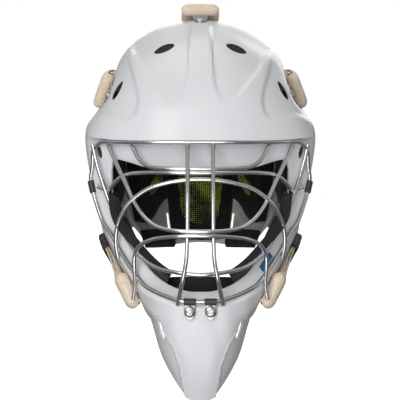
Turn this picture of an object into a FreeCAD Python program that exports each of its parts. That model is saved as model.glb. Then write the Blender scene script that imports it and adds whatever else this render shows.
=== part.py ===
import FreeCAD, Part
import math
import os
import Sketcher
from FreeCAD import Placement, Rotation, Vector

# Goalie mask, in millimetres. +Z is up, the face looks along -Y, and the origin is the middle of the
# head cavity, level with the eyes.

DOC = FreeCAD.newDocument("goalie_mask")
SHEET = DOC.addObject("Spreadsheet::Sheet", "sizes")
DRIVING_SIZES = [
    ("shell_half_width", 111.0),
    ("shell_wall", 4.0),
    ("waist_depth", 9.0),
    ("pad_gap", 0.9),
    ("pad_thick", 13.0),
    ("cage_wire_dia", 4.0),
    ("cage_front", 147.5),
    ("bar_spacing", 24.0),
    ("screw_head_dia", 11.0),
    ("screw_head_rise", 2.6),
    ("screw_shank_dia", 5.0),
    ("screw_length", 11.0),
    ("nut_dia", 10.0),
    ("nut_thick", 1.6),
    ("rivet_dia", 9.0),
    ("rivet_thick", 11.2),
    ("clip_width", 14.0),
    ("clip_length", 22.0),
    ("clip_plate", 1.3),
    ("clip_bar", 3.2),
    ("j_clip_width", 10.0),
    ("j_clip_length", 17.0),
    ("strap_width", 36.0),
    ("strap_thick", 3.0),
    ("strap_loop_thick", 11.0),
    ("slider_length", 27.0),
    ("slider_width", 42.0),
    ("slider_thick", 2.6),
    ("back_half_width", 80.0),
    ("back_depth", 112.0),
    ("back_wall", 3.0),
    ("back_pad_thick", 12.0),
    ("sticker_thick", 0.3),
]
for row, (alias, value) in enumerate(DRIVING_SIZES, 1):
    SHEET.set(f"A{row}", alias)
    SHEET.set(f"B{row}", str(value))
    SHEET.setAlias(f"B{row}", alias)
DOC.recompute()

NODES = []


def size(alias):
    """A driving dimension from the sheet."""
    return float(getattr(SHEET, alias))


def keep(obj, label):
    """Names an object and lists it for export."""
    obj.Label = label
    NODES.append(obj)
    return obj


def shape_node(label, shape, place=None):
    """A freeform sub-part whose shape is set here."""
    obj = DOC.addObject("Part::Feature", label)
    obj.Shape = shape
    if place is not None:
        obj.Placement = place
    return keep(obj, label)


def facing(point, outward, upward=Vector(0, 0, 1)):
    """The placement whose +Z points outward at a point, with +Y as near to upward as it can be."""
    z_axis = Vector(outward).normalize()
    x_axis = upward.cross(z_axis).normalize()
    y_axis = z_axis.cross(x_axis)
    matrix = FreeCAD.Matrix(
        x_axis.x, y_axis.x, z_axis.x, point.x,
        x_axis.y, y_axis.y, z_axis.y, point.y,
        x_axis.z, y_axis.z, z_axis.z, point.z,
    )
    return Placement(matrix)


def mirrored(point):
    """The same point on the other side of the mask."""
    return Vector(-point.x, point.y, point.z)


# ---------------------------------------------------------------- shell surface
# One row for each station of the wearer's left half, from the crown round the cheek to the chin. Each row
# runs from the face opening outwards: opening edge, root of the brow panel or land, brow lip or land
# edge, and then five points over the shell to its rear or lower edge.
STATIONS = [
    [(0, -96, 34), (0, -101, 68), (0, -120, 60), (0, -113, 97), (0, -93, 132), (0, -57, 162),
     (0, 0, 177), (0, 66, 158)],
    [(26, -95, 34), (26, -100, 68), (28, -119, 60), (27, -111, 97), (26, -91, 131), (25, -56, 160),
     (24, 0, 175.5), (21, 65, 157)],
    [(50, -91, 35), (51, -95, 67), (55, -112, 60), (53, -104, 95), (51, -84, 127), (48, -50, 153),
     (45, 0, 168), (41, 62, 151)],
    [(79, -81, 43), (75, -85, 65), (82, -97, 61), (78, -89, 92), (74, -72, 118), (71, -42, 139),
     (67, 2, 152), (56, 60, 138)],
    [(84, -78, 34), (94, -75, 62), (100, -79, 63), (97, -66, 88), (92, -46, 108), (86, -20, 122),
     (79, 14, 130), (70, 58, 121)],
    [(84, -77, 25), (103, -67, 52), (107.5, -60, 60), (109.5, -38, 68), (107, -12, 77), (101, 10, 86),
     (94, 32, 93), (85, 56, 98)],
    [(83, -77, 6), (98.5, -68, 12), (100.5, -64, 14), (103, -38, 20), (102, -10, 26), (99, 14, 32),
     (94, 36, 38), (88, 54, 45)],
    [(74, -88, -21), (84, -82, -28), (87, -78, -30), (91, -52, -27), (92, -24, -22), (91, 2, -16),
     (89, 24, -10), (86, 44, -2)],
    [(49, -106, -58), (58, -108, -72), (60, -105, -76), (61.5, -84, -82), (61.5, -56, -81), (64, -28, -75),
     (69, 0, -66), (76, 28, -52)],
    [(35, -113, -71), (44, -119, -83), (46, -118, -87), (49.5, -103, -98), (50.5, -82, -103),
     (51, -60, -104), (52, -38, -101), (55, -14, -94)],
    [(24, -116, -77), (32, -124, -88), (34, -124, -92), (41, -114, -104), (44, -101, -110),
     (46, -86, -113), (47, -69, -115), (48, -52, -114)],
    [(14, -117.5, -80), (20, -127, -90), (22, -129, -95), (27, -126, -108), (31, -119, -123),
     (34, -108, -134), (36.5, -95, -142), (37, -81, -147)],
    [(7, -118, -81), (9, -128, -91), (10, -130, -97), (13, -128, -111), (16, -124, -129),
     (17, -118, -147), (17.5, -109, -164), (16.5, -99, -179)],
    [(0, -118, -81), (0, -128, -91), (0, -131, -97), (0, -129, -112), (0, -125, -130), (0, -119, -150),
     (0, -111, -169), (0, -102, -185)],
]
DRAWN_HALF_WIDTH = 111.0
LAST_STATION = len(STATIONS) - 1
LOOP = 2 * LAST_STATION
LIP_RING = 2
EDGE_RING = 7
WAIST_START, WAIST_MIDDLE, WAIST_END = 3.55, 4.5, 5.05
WAIST_RING = 2.95


def station_point(station, ring):
    """A point of the net, with the stations past the chin mirrored back up the other side."""
    station %= LOOP
    side = 1.0
    if station > LAST_STATION:
        station = LOOP - station
        side = -1.0
    x, y, z = STATIONS[station][ring]
    return Vector(side * x * size("shell_half_width") / DRAWN_HALF_WIDTH, y, z)


def smooth_between(a, b, c, d, t):
    """A smooth curve from b to c whose slope looks at a and d."""
    slope_b = (c - a) * 0.5
    slope_c = (d - b) * 0.5
    t2 = t * t
    t3 = t2 * t
    return b * (2 * t3 - 3 * t2 + 1) + slope_b * (t3 - 2 * t2 + t) + c * (3 * t2 - 2 * t3) + slope_c * (t3 - t2)


def ring_point(station, ring):
    """A point of one ring, at any place between two stations."""
    first = math.floor(station)
    around = [station_point(first + step, ring) for step in (-1, 0, 1, 2)]
    return smooth_between(*around, station - first)


def eased(share):
    """A smooth step from 0 to 1."""
    share = min(max(share, 0.0), 1.0)
    return share * share * (3 - 2 * share)


def waist(station, ring):
    """How far the temple is pinched in above the flare of the brow visor."""
    around = station % LOOP
    side = 1 if around <= LAST_STATION else -1
    half = min(around, LOOP - around)
    along = eased((half - WAIST_START) / (WAIST_MIDDLE - WAIST_START))
    along *= 1 - eased((half - WAIST_MIDDLE) / (WAIST_END - WAIST_MIDDLE))
    across = eased((ring - WAIST_RING) / 1.0) * (1 - 0.6 * eased((ring - 5.5) / 1.5))
    return Vector(side * size("waist_depth") * along * across, 0, 0)


def skin(station, ring):
    """The shell's outer surface: the net's, drawn in at the temples."""
    return net_skin(station, ring) - waist(station, ring)


def net_skin(station, ring):
    """The net's surface: flat between the first three rings and smooth from the lip to the edge."""
    if ring <= LIP_RING:
        first = min(int(ring), LIP_RING - 1)
        start = ring_point(station, first)
        return start + (ring_point(station, first + 1) - start) * (ring - first)
    first = min(int(ring), EDGE_RING - 1)
    b = ring_point(station, first)
    c = ring_point(station, first + 1)
    a = ring_point(station, first - 1) if first > LIP_RING else b * 2 - c
    d = ring_point(station, first + 2) if first < EDGE_RING - 1 else c * 2 - b
    return smooth_between(a, b, c, d, ring - first)


def skin_normal(station, ring):
    """The outward direction of the shell's surface."""
    step = 0.04
    low = max(ring - step, LIP_RING if ring >= LIP_RING else 0)
    high = min(ring + step, EDGE_RING)
    along = skin(station + step, ring) - skin(station - step, ring)
    across = skin(station, high) - skin(station, low)
    return along.cross(across).normalize()


def shell_at(station, ring, depth):
    """A point a given depth under the shell's outer surface."""
    return skin(station, ring) - skin_normal(station, ring) * depth


def closed_curve(points):
    """A smooth closed wire through points."""
    curve = Part.BSplineCurve()
    curve.interpolate(points, PeriodicFlag=True)
    return Part.Wire(curve.toShape())


def slab(at, u_values, v_values, near, far):
    """A closed solid of even thickness on a surface, between two depths."""
    sheets = []
    for depth in (near, far):
        surface = Part.BSplineSurface()
        surface.interpolate([[at(u, v, depth) for v in v_values] for u in u_values])
        sheets.append(surface.toShape())
    sides = [Part.makeRuledSurface(a, b) for a, b in zip(sheets[0].Edges, sheets[1].Edges)]
    closed_skin = Part.makeShell(sheets + sides)
    closed_skin.sewShape()
    solid = Part.makeSolid(closed_skin)
    if solid.Volume < 0:
        solid.reverse()
    return solid


def steps(low, high, count):
    """Evenly spaced values from low to high."""
    return [low + (high - low) * i / (count - 1) for i in range(count)]


def slot_cutter(point, outward, upward, length, width):
    """A long round-ended prism that cuts a slot through a wall, its length along upward."""
    half = (length - width) / 2
    reach = 30.0
    bar = Part.makeBox(width, 2 * half, reach, Vector(-width / 2, -half, -reach / 2))
    ends = [Part.makeCylinder(width / 2, reach, Vector(0, y, -reach / 2)) for y in (-half, half)]
    cutter = bar.fuse(ends).removeSplitter()
    cutter.Placement = facing(point, outward, upward)
    return cutter


SLOTS = [
    # name, station, ring, long direction, length, width
    ("top vent", 1.42, 4.72, Vector(0.9, 0.1, -0.5), 20.0, 10.0),
    ("side vent", 3.28, 3.75, Vector(-0.2, 0.2, 1.0), 21.0, 9.0),
    ("temple slot", 4.5, 0.7, Vector(0.2, 0.1, 1.0), 12.0, 4.4),
    ("chin slot", 10.45, 4.1, Vector(0.35, -0.2, 1.0), 22.0, 10.0),
]
# ---------------------------------------------------------------- fastener sites
# Every screw stands on the shell, +Z outwards and +Y towards the piece that its clip holds.
CHIN_CLIP_SITE = facing(Vector(9.8, -131.6, -99.5), Vector(0, -1, -0.08))
TEMPLE_CLIP_STATION, TEMPLE_CLIP_RING = 6.0, 2.3
STRAP_CLIPS = [
    # label, station, ring
    ("crown_strap_clip", 0.0, 5.72),
    ("temple_strap_clip_left", 4.42, 4.62),
    ("temple_strap_clip_right", LOOP - 4.42, 4.62),
    ("jaw_strap_clip_left", 8.12, 3.2),
    ("jaw_strap_clip_right", LOOP - 8.12, 3.2),
]


def towards(station, ring, ring_step, lift=0.3):
    """A site on the shell with +Y along the surface in the direction of growing or falling ring."""
    ahead = skin(station, ring + ring_step) - skin(station, ring)
    return facing(shell_at(station, ring, -lift), skin_normal(station, ring), ahead)


def square_to_lip(station, ring, lift=0.3):
    """A site on the shell with +Y towards the lip and +X along it."""
    outward = skin_normal(station, ring)
    along = skin(station - 0.4, LIP_RING) - skin(station + 0.4, LIP_RING)
    return facing(shell_at(station, ring, -lift), outward, outward.cross(along))


def mirror_site(site):
    """The same site on the other side of the mask."""
    outward = site.Rotation.multVec(Vector(0, 0, 1))
    upward = site.Rotation.multVec(Vector(0, 1, 0))
    return facing(mirrored(site.Base), mirrored(outward), mirrored(upward))


TEMPLE_CLIP_SITE = square_to_lip(TEMPLE_CLIP_STATION, TEMPLE_CLIP_RING)
CAGE_CLIP_SITES = [
    ("chin_clip_left", CHIN_CLIP_SITE),
    ("chin_clip_right", mirror_site(CHIN_CLIP_SITE)),
    ("temple_clip_left", TEMPLE_CLIP_SITE),
    ("temple_clip_right", mirror_site(TEMPLE_CLIP_SITE)),
]
STRAP_CLIP_SITES = [(label, towards(station, ring, 0.1)) for label, station, ring in STRAP_CLIPS]
FASTENER_SITES = [site for _, site in CAGE_CLIP_SITES + STRAP_CLIP_SITES]


def shell_rings(offset_of):
    """Closed curves through a ring of stations, at the rings that offset_of names."""
    half_stations = [i / 2 for i in range(2 * LOOP)]
    return [closed_curve([point(s) for s in half_stations]) for point in offset_of]


OUTER_RINGS = (0, 1, 2, 2.25, 2.5, 3, 3.5, 4, 4.5, 5, 5.5, 6, 6.5, 7)
INNER_RINGS = (3, 3.5, 4, 4.5, 5, 5.5, 6, 6.5, 7)


def shell_shape():
    wall = size("shell_wall")
    outer = shell_rings([lambda s, r=r: skin(s, r) for r in OUTER_RINGS])
    inner = shell_rings(
        [lambda s, r=r: shell_at(s, r, wall) for r in (0.001, 0.95)]
        + [lambda s, r=r: shell_at(s, r, wall) for r in INNER_RINGS]
    )
    strips = [
        Part.makeLoft(outer[0:2], False, True),
        Part.makeLoft(outer[1:3], False, True),
        Part.makeLoft(outer[2:], False, False),
        Part.makeLoft([outer[-1], inner[-1]], False, True),
        Part.makeLoft(inner[1:], False, False),
        Part.makeLoft(inner[0:2], False, True),
        Part.makeLoft([outer[0], inner[0]], False, True),
    ]
    faces = [face for strip in strips for face in strip.Faces]
    closed_skin = Part.makeShell(faces)
    closed_skin.sewShape()
    solid = Part.makeSolid(closed_skin)
    cutters = []
    for _, station, ring, direction, length, width in SLOTS:
        for side in (1, -1):
            place = station if side > 0 else LOOP - station
            long_way = Vector(side * direction.x, direction.y, direction.z)
            cutters.append(slot_cutter(skin(place, ring), skin_normal(place, ring), long_way, length, width))
    for site in FASTENER_SITES:
        hole = Part.makeCylinder(size("screw_shank_dia") / 2 + 0.3, 40.0, Vector(0, 0, -20.0))
        hole.Placement = site
        cutters.append(hole)
    return solid.cut(cutters)


shape_node("shell", shell_shape())

# ---------------------------------------------------------------- pads in the shell
UNDER_WALL = size("shell_wall") + size("pad_gap")
PADS = [
    # label, stations, rings, thickness
    ("crown_pad", (-1.5, 1.5), (5.25, 6.5), 1.0),
    ("forehead_pad", (-2.5, 2.5), (3.15, 5.05), 1.0),
    ("sweatband", (-2.6, 2.6), (0.12, 0.8), 0.6),
]
SIDE_PADS = [
    ("temple_pad", (2.75, 4.15), (3.8, 6.3), 0.8),
    ("cheek_pad", (4.85, 6.75), (2.75, 6.0), 1.7),
    ("jaw_pad", (6.95, 8.1), (2.75, 5.9), 1.3),
]


def pad(label, stations, rings, thickness):
    far = UNDER_WALL + thickness * size("pad_thick")
    return shape_node(label, slab(shell_at, steps(*stations, 9), steps(*rings, 7), UNDER_WALL, far))


for label, stations, rings, thickness in PADS:
    pad(label, stations, rings, thickness)
for label, stations, rings, thickness in SIDE_PADS:
    pad(f"{label}_left", stations, rings, thickness)
    pad(f"{label}_right", [LOOP - station for station in stations[::-1]], rings, thickness)


def chin_cup_at(angle, height, depth):
    """A point of the chin cup, which wraps the chin behind the lower edge of the face opening."""
    turn = math.radians(angle)
    return Vector((46 - depth) * math.sin(turn), -68 - (39 - depth) * math.cos(turn), height)


shape_node("chin_pad", slab(chin_cup_at, steps(-66, 66, 7), steps(-96, -67, 3), 0.0, size("pad_thick")))

shape_node("side_sticker", slab(
    shell_at, steps(7.5, 7.85, 4), steps(0.32, 0.7, 3), -0.1 - size("sticker_thick"), -0.1))

# ---------------------------------------------------------------- cage
WIRE = size("cage_wire_dia")
CLIP_ROLL = Vector(0, 9.2, 1.2)
DEEPEST_LEVEL = -45.0


def cage_depth(x, z):
    """How far forward the cage's surface is: bulging most at the mouth, and curving back to the sides."""
    bend = 0.00316 if z > DEEPEST_LEVEL else 0.0074
    centre = -size("cage_front") + bend * (z - DEEPEST_LEVEL) ** 2
    return centre + (73.0 - 0.58 * z) * (x / 100.0) ** 2


def cage_point(x, z, layer):
    """A point of a wire. Layer 1 lies one wire behind the cage's surface, and -1 one wire in front."""
    step = 0.5
    slope_x = (cage_depth(x + step, z) - cage_depth(x - step, z)) / (2 * step)
    slope_z = (cage_depth(x, z + step) - cage_depth(x, z - step)) / (2 * step)
    inward = Vector(-slope_x, 1, -slope_z).normalize()
    return Vector(x, cage_depth(x, z), z) + inward * (layer * WIRE * 0.9)


def bent_path(points, closed):
    """Straight runs joined by tangent arcs, each as large as its two runs allow."""
    count = len(points)
    corners = range(count) if closed else range(1, count - 1)
    edges = []
    last = points[0] if not closed else None
    first = last
    for i in corners:
        corner = points[i]
        back = points[i - 1] - corner
        ahead = points[(i + 1) % count] - corner
        reach = 0.45 * min(back.Length, ahead.Length)
        back.normalize()
        ahead.normalize()
        half_turn = (math.pi - back.getAngle(ahead)) / 2
        start = corner + back * reach
        end = corner + ahead * reach
        if half_turn > 0.004:
            radius = reach / math.tan(half_turn)
            inside = (back + ahead).normalize()
            middle = corner + inside * (radius / math.cos(half_turn) - radius)
            bend = Part.Arc(start, middle, end).toShape()
        else:
            bend = Part.LineSegment(start, end).toShape()
        if last is None:
            first = start
        else:
            edges.append(Part.LineSegment(last, start).toShape())
        edges.append(bend)
        last = end
    edges.append(Part.LineSegment(last, first if closed else points[-1]).toShape())
    return Part.Wire(edges)


def wire_solid(points, closed=False, diameter=WIRE):
    """A round wire bent along points."""
    path = bent_path(points, closed)
    start = path.Edges[0].valueAt(path.Edges[0].FirstParameter)
    along = path.Edges[0].tangentAt(path.Edges[0].FirstParameter)
    section = Part.Wire(Part.makeCircle(diameter / 2, start, along))
    solid = path.makePipeShell([section], True, False)
    expected = math.pi * diameter ** 2 / 4 * path.Length
    if abs(solid.Volume / expected - 1) > 0.02:
        raise RuntimeError(f"wire volume {solid.Volume:.0f} against {expected:.0f}")
    return solid


def both_sides(half):
    """A symmetric route from the points of its left half, the last of them on the middle line."""
    return half + [mirrored(point) for point in half[-2::-1]]


def cage_route(half):
    return both_sides([cage_point(*point) for point in half])


def on_land(stations, ring):
    """Points of the rim where it rests on the land."""
    return [shell_at(station, ring, -WIRE / 2 - 0.1) for station in stations]


def rim_route():
    """The rim closes under the brow lip, runs through the clips' rolls and rests on the land between them."""
    under_lip = [skin(station, 1.8) - Vector(0, 0, WIRE / 2 + 0.4) for station in (0.7, 1.6, 2.4, 3.1)]
    corner = [Vector(94, -81, 60), Vector(101.5, -74.5, 53)]
    temple = [TEMPLE_CLIP_SITE.multVec(CLIP_ROLL + Vector(x, 0, 0)) for x in (8, -8)]
    cheek = on_land((6.5, 6.7), 1.3) + on_land((7.0, 7.4, 7.8, 8.3, 8.9, 9.5), 0.9)
    chin = [CHIN_CLIP_SITE.multVec(CLIP_ROLL + Vector(x, 0, 0)) for x in (7, -7)]
    jaw_bend = [Vector(26, -129.5, -87.6)]
    half = under_lip + corner + on_land((5.4,), 0.9) + temple + cheek + jaw_bend + chin
    return half + [mirrored(point) for point in half[::-1]]


CAGE_WIRES = [
    # label, and the left half of the route as (x, z, layer)
    ("cage_u_wire", [(101, 57, -0.3), (98.8, 44, -0.1), (95.8, 32, 0), (92, 20, 0), (87.3, 7, 0),
                     (80.8, -9, 0), (73.5, -24, 0), (65.5, -37, 0), (56, -48.5, 0), (46, -56, 0),
                     (35, -60.5, 0), (20, -63.5, 0), (0, -65.5, 0)]),
    ("cage_eye_arch_wire", [(75.5, -49, -0.6), (76.8, -40, -0.9), (76.8, -28, -1), (74.5, -15.5, -1),
                            (66.5, 1, -1), (50, 16, 0), (25, 23.8, 1), (0, 25.8, 1)]),
    ("cage_lower_eye_wire", [(87, 57, 0), (78.5, 37.5, 0), (69, 18, 0), (62, 2, 0), (51.5, -12, -0.4),
                             (38, -21.5, -1), (21, -24.8, -1), (0, -25.2, -1)]),
    ("cage_brow_wire", [(65.5, 58.5, 0), (58.5, 43, 0.6), (50, 36.8, 1), (35, 35.6, 1), (18, 35.6, 1),
                        (0, 35.6, 1)]),
    ("cage_cross_wire", [(89.5, 12.5, 1), (83, 21.5, 1), (77, 27, 1), (69, 30, 1), (52, 31.4, 1),
                         (26, 31.6, 1), (0, 31.6, 1)]),
    ("cage_mouth_wire", [(54.5, -84, -3.3), (56.5, -72, -1.6), (59.3, -58, -1), (59.3, -46, -1),
                         (54, -36.5, -1), (42, -31.2, -1), (22, -29.2, -1), (0, -29.1, -1)]),
]
HALF_SPACING = size("bar_spacing") / 2
BAR = [(HALF_SPACING, 59, 0), (HALF_SPACING, 36, 0), (HALF_SPACING, 12, 0), (HALF_SPACING, -10, 0),
       (HALF_SPACING, -28, 0), (HALF_SPACING + 0.4, -52, -0.7), (HALF_SPACING + 2.8, -66, -1),
       (HALF_SPACING + 7.8, -91, -1.1)]
SIDE_TIE = [(87.5, 12, 0.95), (93, 14.5, 0.95), (98.5, 17, 0.7)]

shape_node("cage_rim_wire", wire_solid(rim_route(), closed=True))
for label, half in CAGE_WIRES:
    shape_node(label, wire_solid(cage_route(half)))
for label, half in (("cage_bar", BAR), ("cage_side_tie", SIDE_TIE)):
    points = [cage_point(*point) for point in half]
    shape_node(f"{label}_left", wire_solid(points))
    shape_node(f"{label}_right", wire_solid([mirrored(point) for point in points]))

# ---------------------------------------------------------------- clips and fasteners


def primitive(kind, label, sizes, place):
    """A Part primitive whose sizes follow the sheet."""
    obj = DOC.addObject(kind, label)
    for name, expression in sizes.items():
        obj.setExpression(name, expression)
    obj.Placement = place
    return obj


def screw_hole(label):
    place = Placement(Vector(0, 0, -5), Rotation())
    hole = primitive("Part::Cylinder", label, {"Radius": "sizes.screw_shank_dia / 2 + 0.3"}, place)
    hole.Height = 20
    return hole


def cage_clip(label, site):
    """A strip over the shell whose rolled end holds the rim wire. The screw goes through its middle."""
    width = size("j_clip_width")
    length = size("j_clip_length")
    plate = primitive("Part::Box", f"{label}_plate", {
        "Length": "sizes.j_clip_width", "Width": "sizes.j_clip_length", "Height": "sizes.clip_plate",
    }, Placement(Vector(-width / 2, 9.5 - length, 0), Rotation()))
    across = Rotation(Vector(0, 1, 0), 90)
    axis = CLIP_ROLL - Vector(width / 2, 0, 0)
    roll = primitive("Part::Cylinder", f"{label}_roll", {
        "Radius": "sizes.cage_wire_dia / 2 + sizes.clip_plate", "Height": "sizes.j_clip_width",
    }, Placement(axis, across))
    eye = primitive("Part::Cylinder", f"{label}_eye", {
        "Radius": "sizes.cage_wire_dia / 2 + 0.05",
    }, Placement(axis - Vector(5, 0, 0), across))
    eye.Height = width + 10
    body = DOC.addObject("Part::MultiFuse", f"{label}_strip")
    body.Shapes = [plate, roll]
    cuts = DOC.addObject("Part::MultiFuse", f"{label}_cuts")
    cuts.Shapes = [eye, screw_hole(f"{label}_hole")]
    clip = DOC.addObject("Part::Cut", label)
    clip.Base = body
    clip.Tool = cuts
    clip.Placement = site
    return keep(clip, label)


def strap_clip(label, site):
    """A strip on the shell with a bar across its end, round which the strap is folded."""
    width = size("clip_width")
    plate = primitive("Part::Box", f"{label}_plate", {
        "Length": "sizes.clip_width", "Width": "sizes.clip_length", "Height": "sizes.clip_plate",
    }, Placement(Vector(-width / 2, -7, 0), Rotation()))
    bar = primitive("Part::Cylinder", f"{label}_bar", {
        "Radius": "sizes.clip_bar / 2", "Height": "sizes.strap_width + 2",
    }, Placement(Vector(-size("strap_width") / 2 - 1, size("clip_length") - 7.5, 1.6), Rotation(Vector(0, 1, 0), 90)))
    body = DOC.addObject("Part::MultiFuse", f"{label}_strip")
    body.Shapes = [plate, bar]
    clip = DOC.addObject("Part::Cut", label)
    clip.Base = body
    clip.Tool = screw_hole(f"{label}_hole")
    clip.Placement = site
    return keep(clip, label)


for label, site in CAGE_CLIP_SITES:
    cage_clip(label, site)
for label, site in STRAP_CLIP_SITES:
    strap_clip(label, site)


def origin_plane(body, role):
    return next(feature for feature in body.Origin.OriginFeatures if feature.Role == role)


def turned_body(label, outline, bindings):
    """A PartDesign body turned about Z from a half outline of (radius, height) points in the XZ plane."""
    body = DOC.addObject("PartDesign::Body", label)
    sketch = body.newObject("Sketcher::SketchObject", f"{label}_outline")
    sketch.AttachmentSupport = (origin_plane(body, "XZ_Plane"), [""])
    sketch.MapMode = "FlatFace"
    corners = [Vector(x, y, 0) for x, y in outline]
    for start, end in zip(corners, corners[1:] + corners[:1]):
        sketch.addGeometry(Part.LineSegment(start, end))
    for i in range(len(corners)):
        sketch.addConstraint(Sketcher.Constraint("Coincident", i, 2, (i + 1) % len(corners), 1))
    for name, (kind, corner, value, expression) in bindings.items():
        index = sketch.addConstraint(Sketcher.Constraint(kind, -1, 1, corner, 1, value))
        sketch.renameConstraint(index, name)
        sketch.setExpression(f"Constraints.{name}", expression)
    turn = body.newObject("PartDesign::Revolution", f"{label}_turn")
    turn.Profile = sketch
    turn.ReferenceAxis = (sketch, ["V_Axis"])
    turn.Angle = 360
    body.Tip = turn
    DOC.recompute()
    return body

HEAD_RADIUS = size("screw_head_dia") / 2
SHANK_RADIUS = size("screw_shank_dia") / 2
screw = turned_body(
    "truss_head_screw",
    [(0, 2.6), (2.6, 2.2), (HEAD_RADIUS - 0.6, 0.8), (HEAD_RADIUS, 0), (SHANK_RADIUS, 0),
     (SHANK_RADIUS, -size("screw_length")), (0, -size("screw_length"))],
    {
        "head": ("DistanceX", 3, HEAD_RADIUS, "sizes.screw_head_dia / 2"),
        "rise": ("DistanceY", 0, 2.6, "sizes.screw_head_rise"),
        "shank": ("DistanceX", 5, SHANK_RADIUS, "sizes.screw_shank_dia / 2"),
    },
)
NUT_RADIUS = size("nut_dia") / 2
nut = turned_body(
    "tee_nut",
    [(SHANK_RADIUS, 0), (NUT_RADIUS, 0), (NUT_RADIUS, -size("nut_thick")), (SHANK_RADIUS + 1, -size("nut_thick")),
     (SHANK_RADIUS + 1, -4.5), (SHANK_RADIUS, -4.5)],
    {"flange": ("DistanceX", 1, NUT_RADIUS, "sizes.nut_dia / 2")},
)
RIVET_RADIUS = size("rivet_dia") / 2
rivet = turned_body(
    "strap_rivet",
    [(0, 1.6), (RIVET_RADIUS - 1, 1.2), (RIVET_RADIUS, 0), (2.0, 0), (2.0, -size("rivet_thick")),
     (RIVET_RADIUS - 1, -size("rivet_thick")), (RIVET_RADIUS - 1, -size("rivet_thick") - 1),
     (0, -size("rivet_thick") - 1)],
    {"head": ("DistanceX", 2, RIVET_RADIUS, "sizes.rivet_dia / 2")},
)


def group(label, pattern, sites, lift):
    """Separate copies of one fastener, at every site, as one node."""
    copies = []
    for site in sites:
        copy = pattern.Shape.copy()
        copy.Placement = site.multiply(Placement(Vector(0, 0, lift), Rotation()))
        copies.append(copy)
    return shape_node(label, Part.makeCompound(copies))


CAGE_SITES = [site for _, site in CAGE_CLIP_SITES]
CLIP_SITES = [site for _, site in STRAP_CLIP_SITES]
ON_PLATE = size("clip_plate")
INSIDE_WALL = -size("shell_wall") - 0.6
group("cage_clip_screws", screw, CAGE_SITES, ON_PLATE)
group("cage_clip_nuts", nut, CAGE_SITES, INSIDE_WALL)
group("strap_clip_screws", screw, CLIP_SITES, ON_PLATE)
group("strap_clip_nuts", nut, CLIP_SITES, INSIDE_WALL)

# ---------------------------------------------------------------- backplate
BACK_CENTRE = Vector(0, 18, 52)
BACK_RISE, BACK_DROP = 106.0, 150.0


def back_skin(azimuth, level):
    """The backplate's outer surface, by degrees round from the rear and degrees up."""
    turn = math.radians(azimuth)
    lift = math.radians(level)
    height = BACK_RISE if level > 0 else BACK_DROP
    return BACK_CENTRE + Vector(
        size("back_half_width") * math.sin(turn) * math.cos(lift),
        size("back_depth") * math.cos(turn) * math.cos(lift),
        height * math.sin(lift),
    )


def back_normal(azimuth, level):
    out = back_skin(azimuth, level) - BACK_CENTRE
    height = BACK_RISE if level > 0 else BACK_DROP
    return Vector(
        out.x / size("back_half_width") ** 2, out.y / size("back_depth") ** 2, out.z / height ** 2
    ).normalize()


def back_at(azimuth, level, depth):
    """A point a given depth under the backplate's outer surface."""
    return back_skin(azimuth, level) - back_normal(azimuth, level) * depth


def back_level(azimuth, share):
    """Level at a share of the way from the arched lower edge to the rounded upper edge."""
    side = (azimuth / 78.0) ** 2
    low = -36.0 - 3.0 * math.sin(min(1.0, side * 1.6) * math.pi) + 14.0 * side ** 3
    high = 69.0 - 27.0 * side
    return low + (high - low) * share


def back_plate_at(azimuth, share, depth):
    return back_at(azimuth, back_level(azimuth, share), depth)


BACK_SLOTS = [
    # azimuth, level, direction, length, width
    (27.0, -27.0, Vector(-0.1, 0, 1), 17.0, 4.0),
    (40.0, 22.0, Vector(0, 0, 1), 24.0, 8.0),
    (62.0, 12.0, Vector(0, 0, 1), 24.0, 8.0),
]
STRAP_LIFT = 3.4
RIVETS = [(0.0, 31.0), (36.0, 20.5), (-36.0, 20.5), (46.0, -20.5), (-46.0, -20.5)]


def back_shape():
    plate = slab(back_plate_at, steps(-78, 78, 21), steps(0, 1, 17), 0.0, size("back_wall"))
    cutters = []
    for azimuth, level, direction, length, width in BACK_SLOTS:
        for side in (1, -1):
            place = back_skin(side * azimuth, level)
            long_way = Vector(side * direction.x, direction.y, direction.z)
            cutters.append(slot_cutter(place, back_normal(side * azimuth, level), long_way, length, width))
    for azimuth, level in RIVETS:
        hole = Part.makeCylinder(2.2, 30, Vector(0, 0, -15))
        hole.Placement = facing(back_skin(azimuth, level), back_normal(azimuth, level))
        cutters.append(hole)
    return plate.cut(cutters)


shape_node("backplate_shell", back_shape())
UNDER_BACK = size("back_wall") + size("pad_gap")
BACK_PADS = [
    # label, azimuths, lower and upper level at the inner side, fall of the lower edge, thickness
    ("backplate_spine_pad", (-26, 26), (-33.5, 46), 0.0, 1.0),
    ("backplate_upper_pad_left", (29, 70), (-19, 44), 9.0, 1.0),
    ("backplate_upper_pad_right", (-70, -29), (-19, 44), 9.0, 1.0),
    ("backplate_lower_pad_left", (28, 66), (-38, -34.5), 0.0, 0.7),
    ("backplate_lower_pad_right", (-66, -28), (-38, -34.5), 0.0, 0.7),
]


def back_pad_at(azimuths, levels, fall):
    """The surface of a backplate pad whose lower edge falls and whose upper edge drops away outwards."""
    inner = min(abs(azimuth) for azimuth in azimuths)
    span = max(abs(azimuth) for azimuth in azimuths) - inner

    def at(azimuth, share, depth):
        outward = (abs(azimuth) - inner) / span if fall else 0.0
        low = levels[0] - fall * eased(outward * 1.6)
        high = levels[1] - 2 * fall * outward ** 2
        return back_at(azimuth, low + (high - low) * share, depth)

    return at


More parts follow.
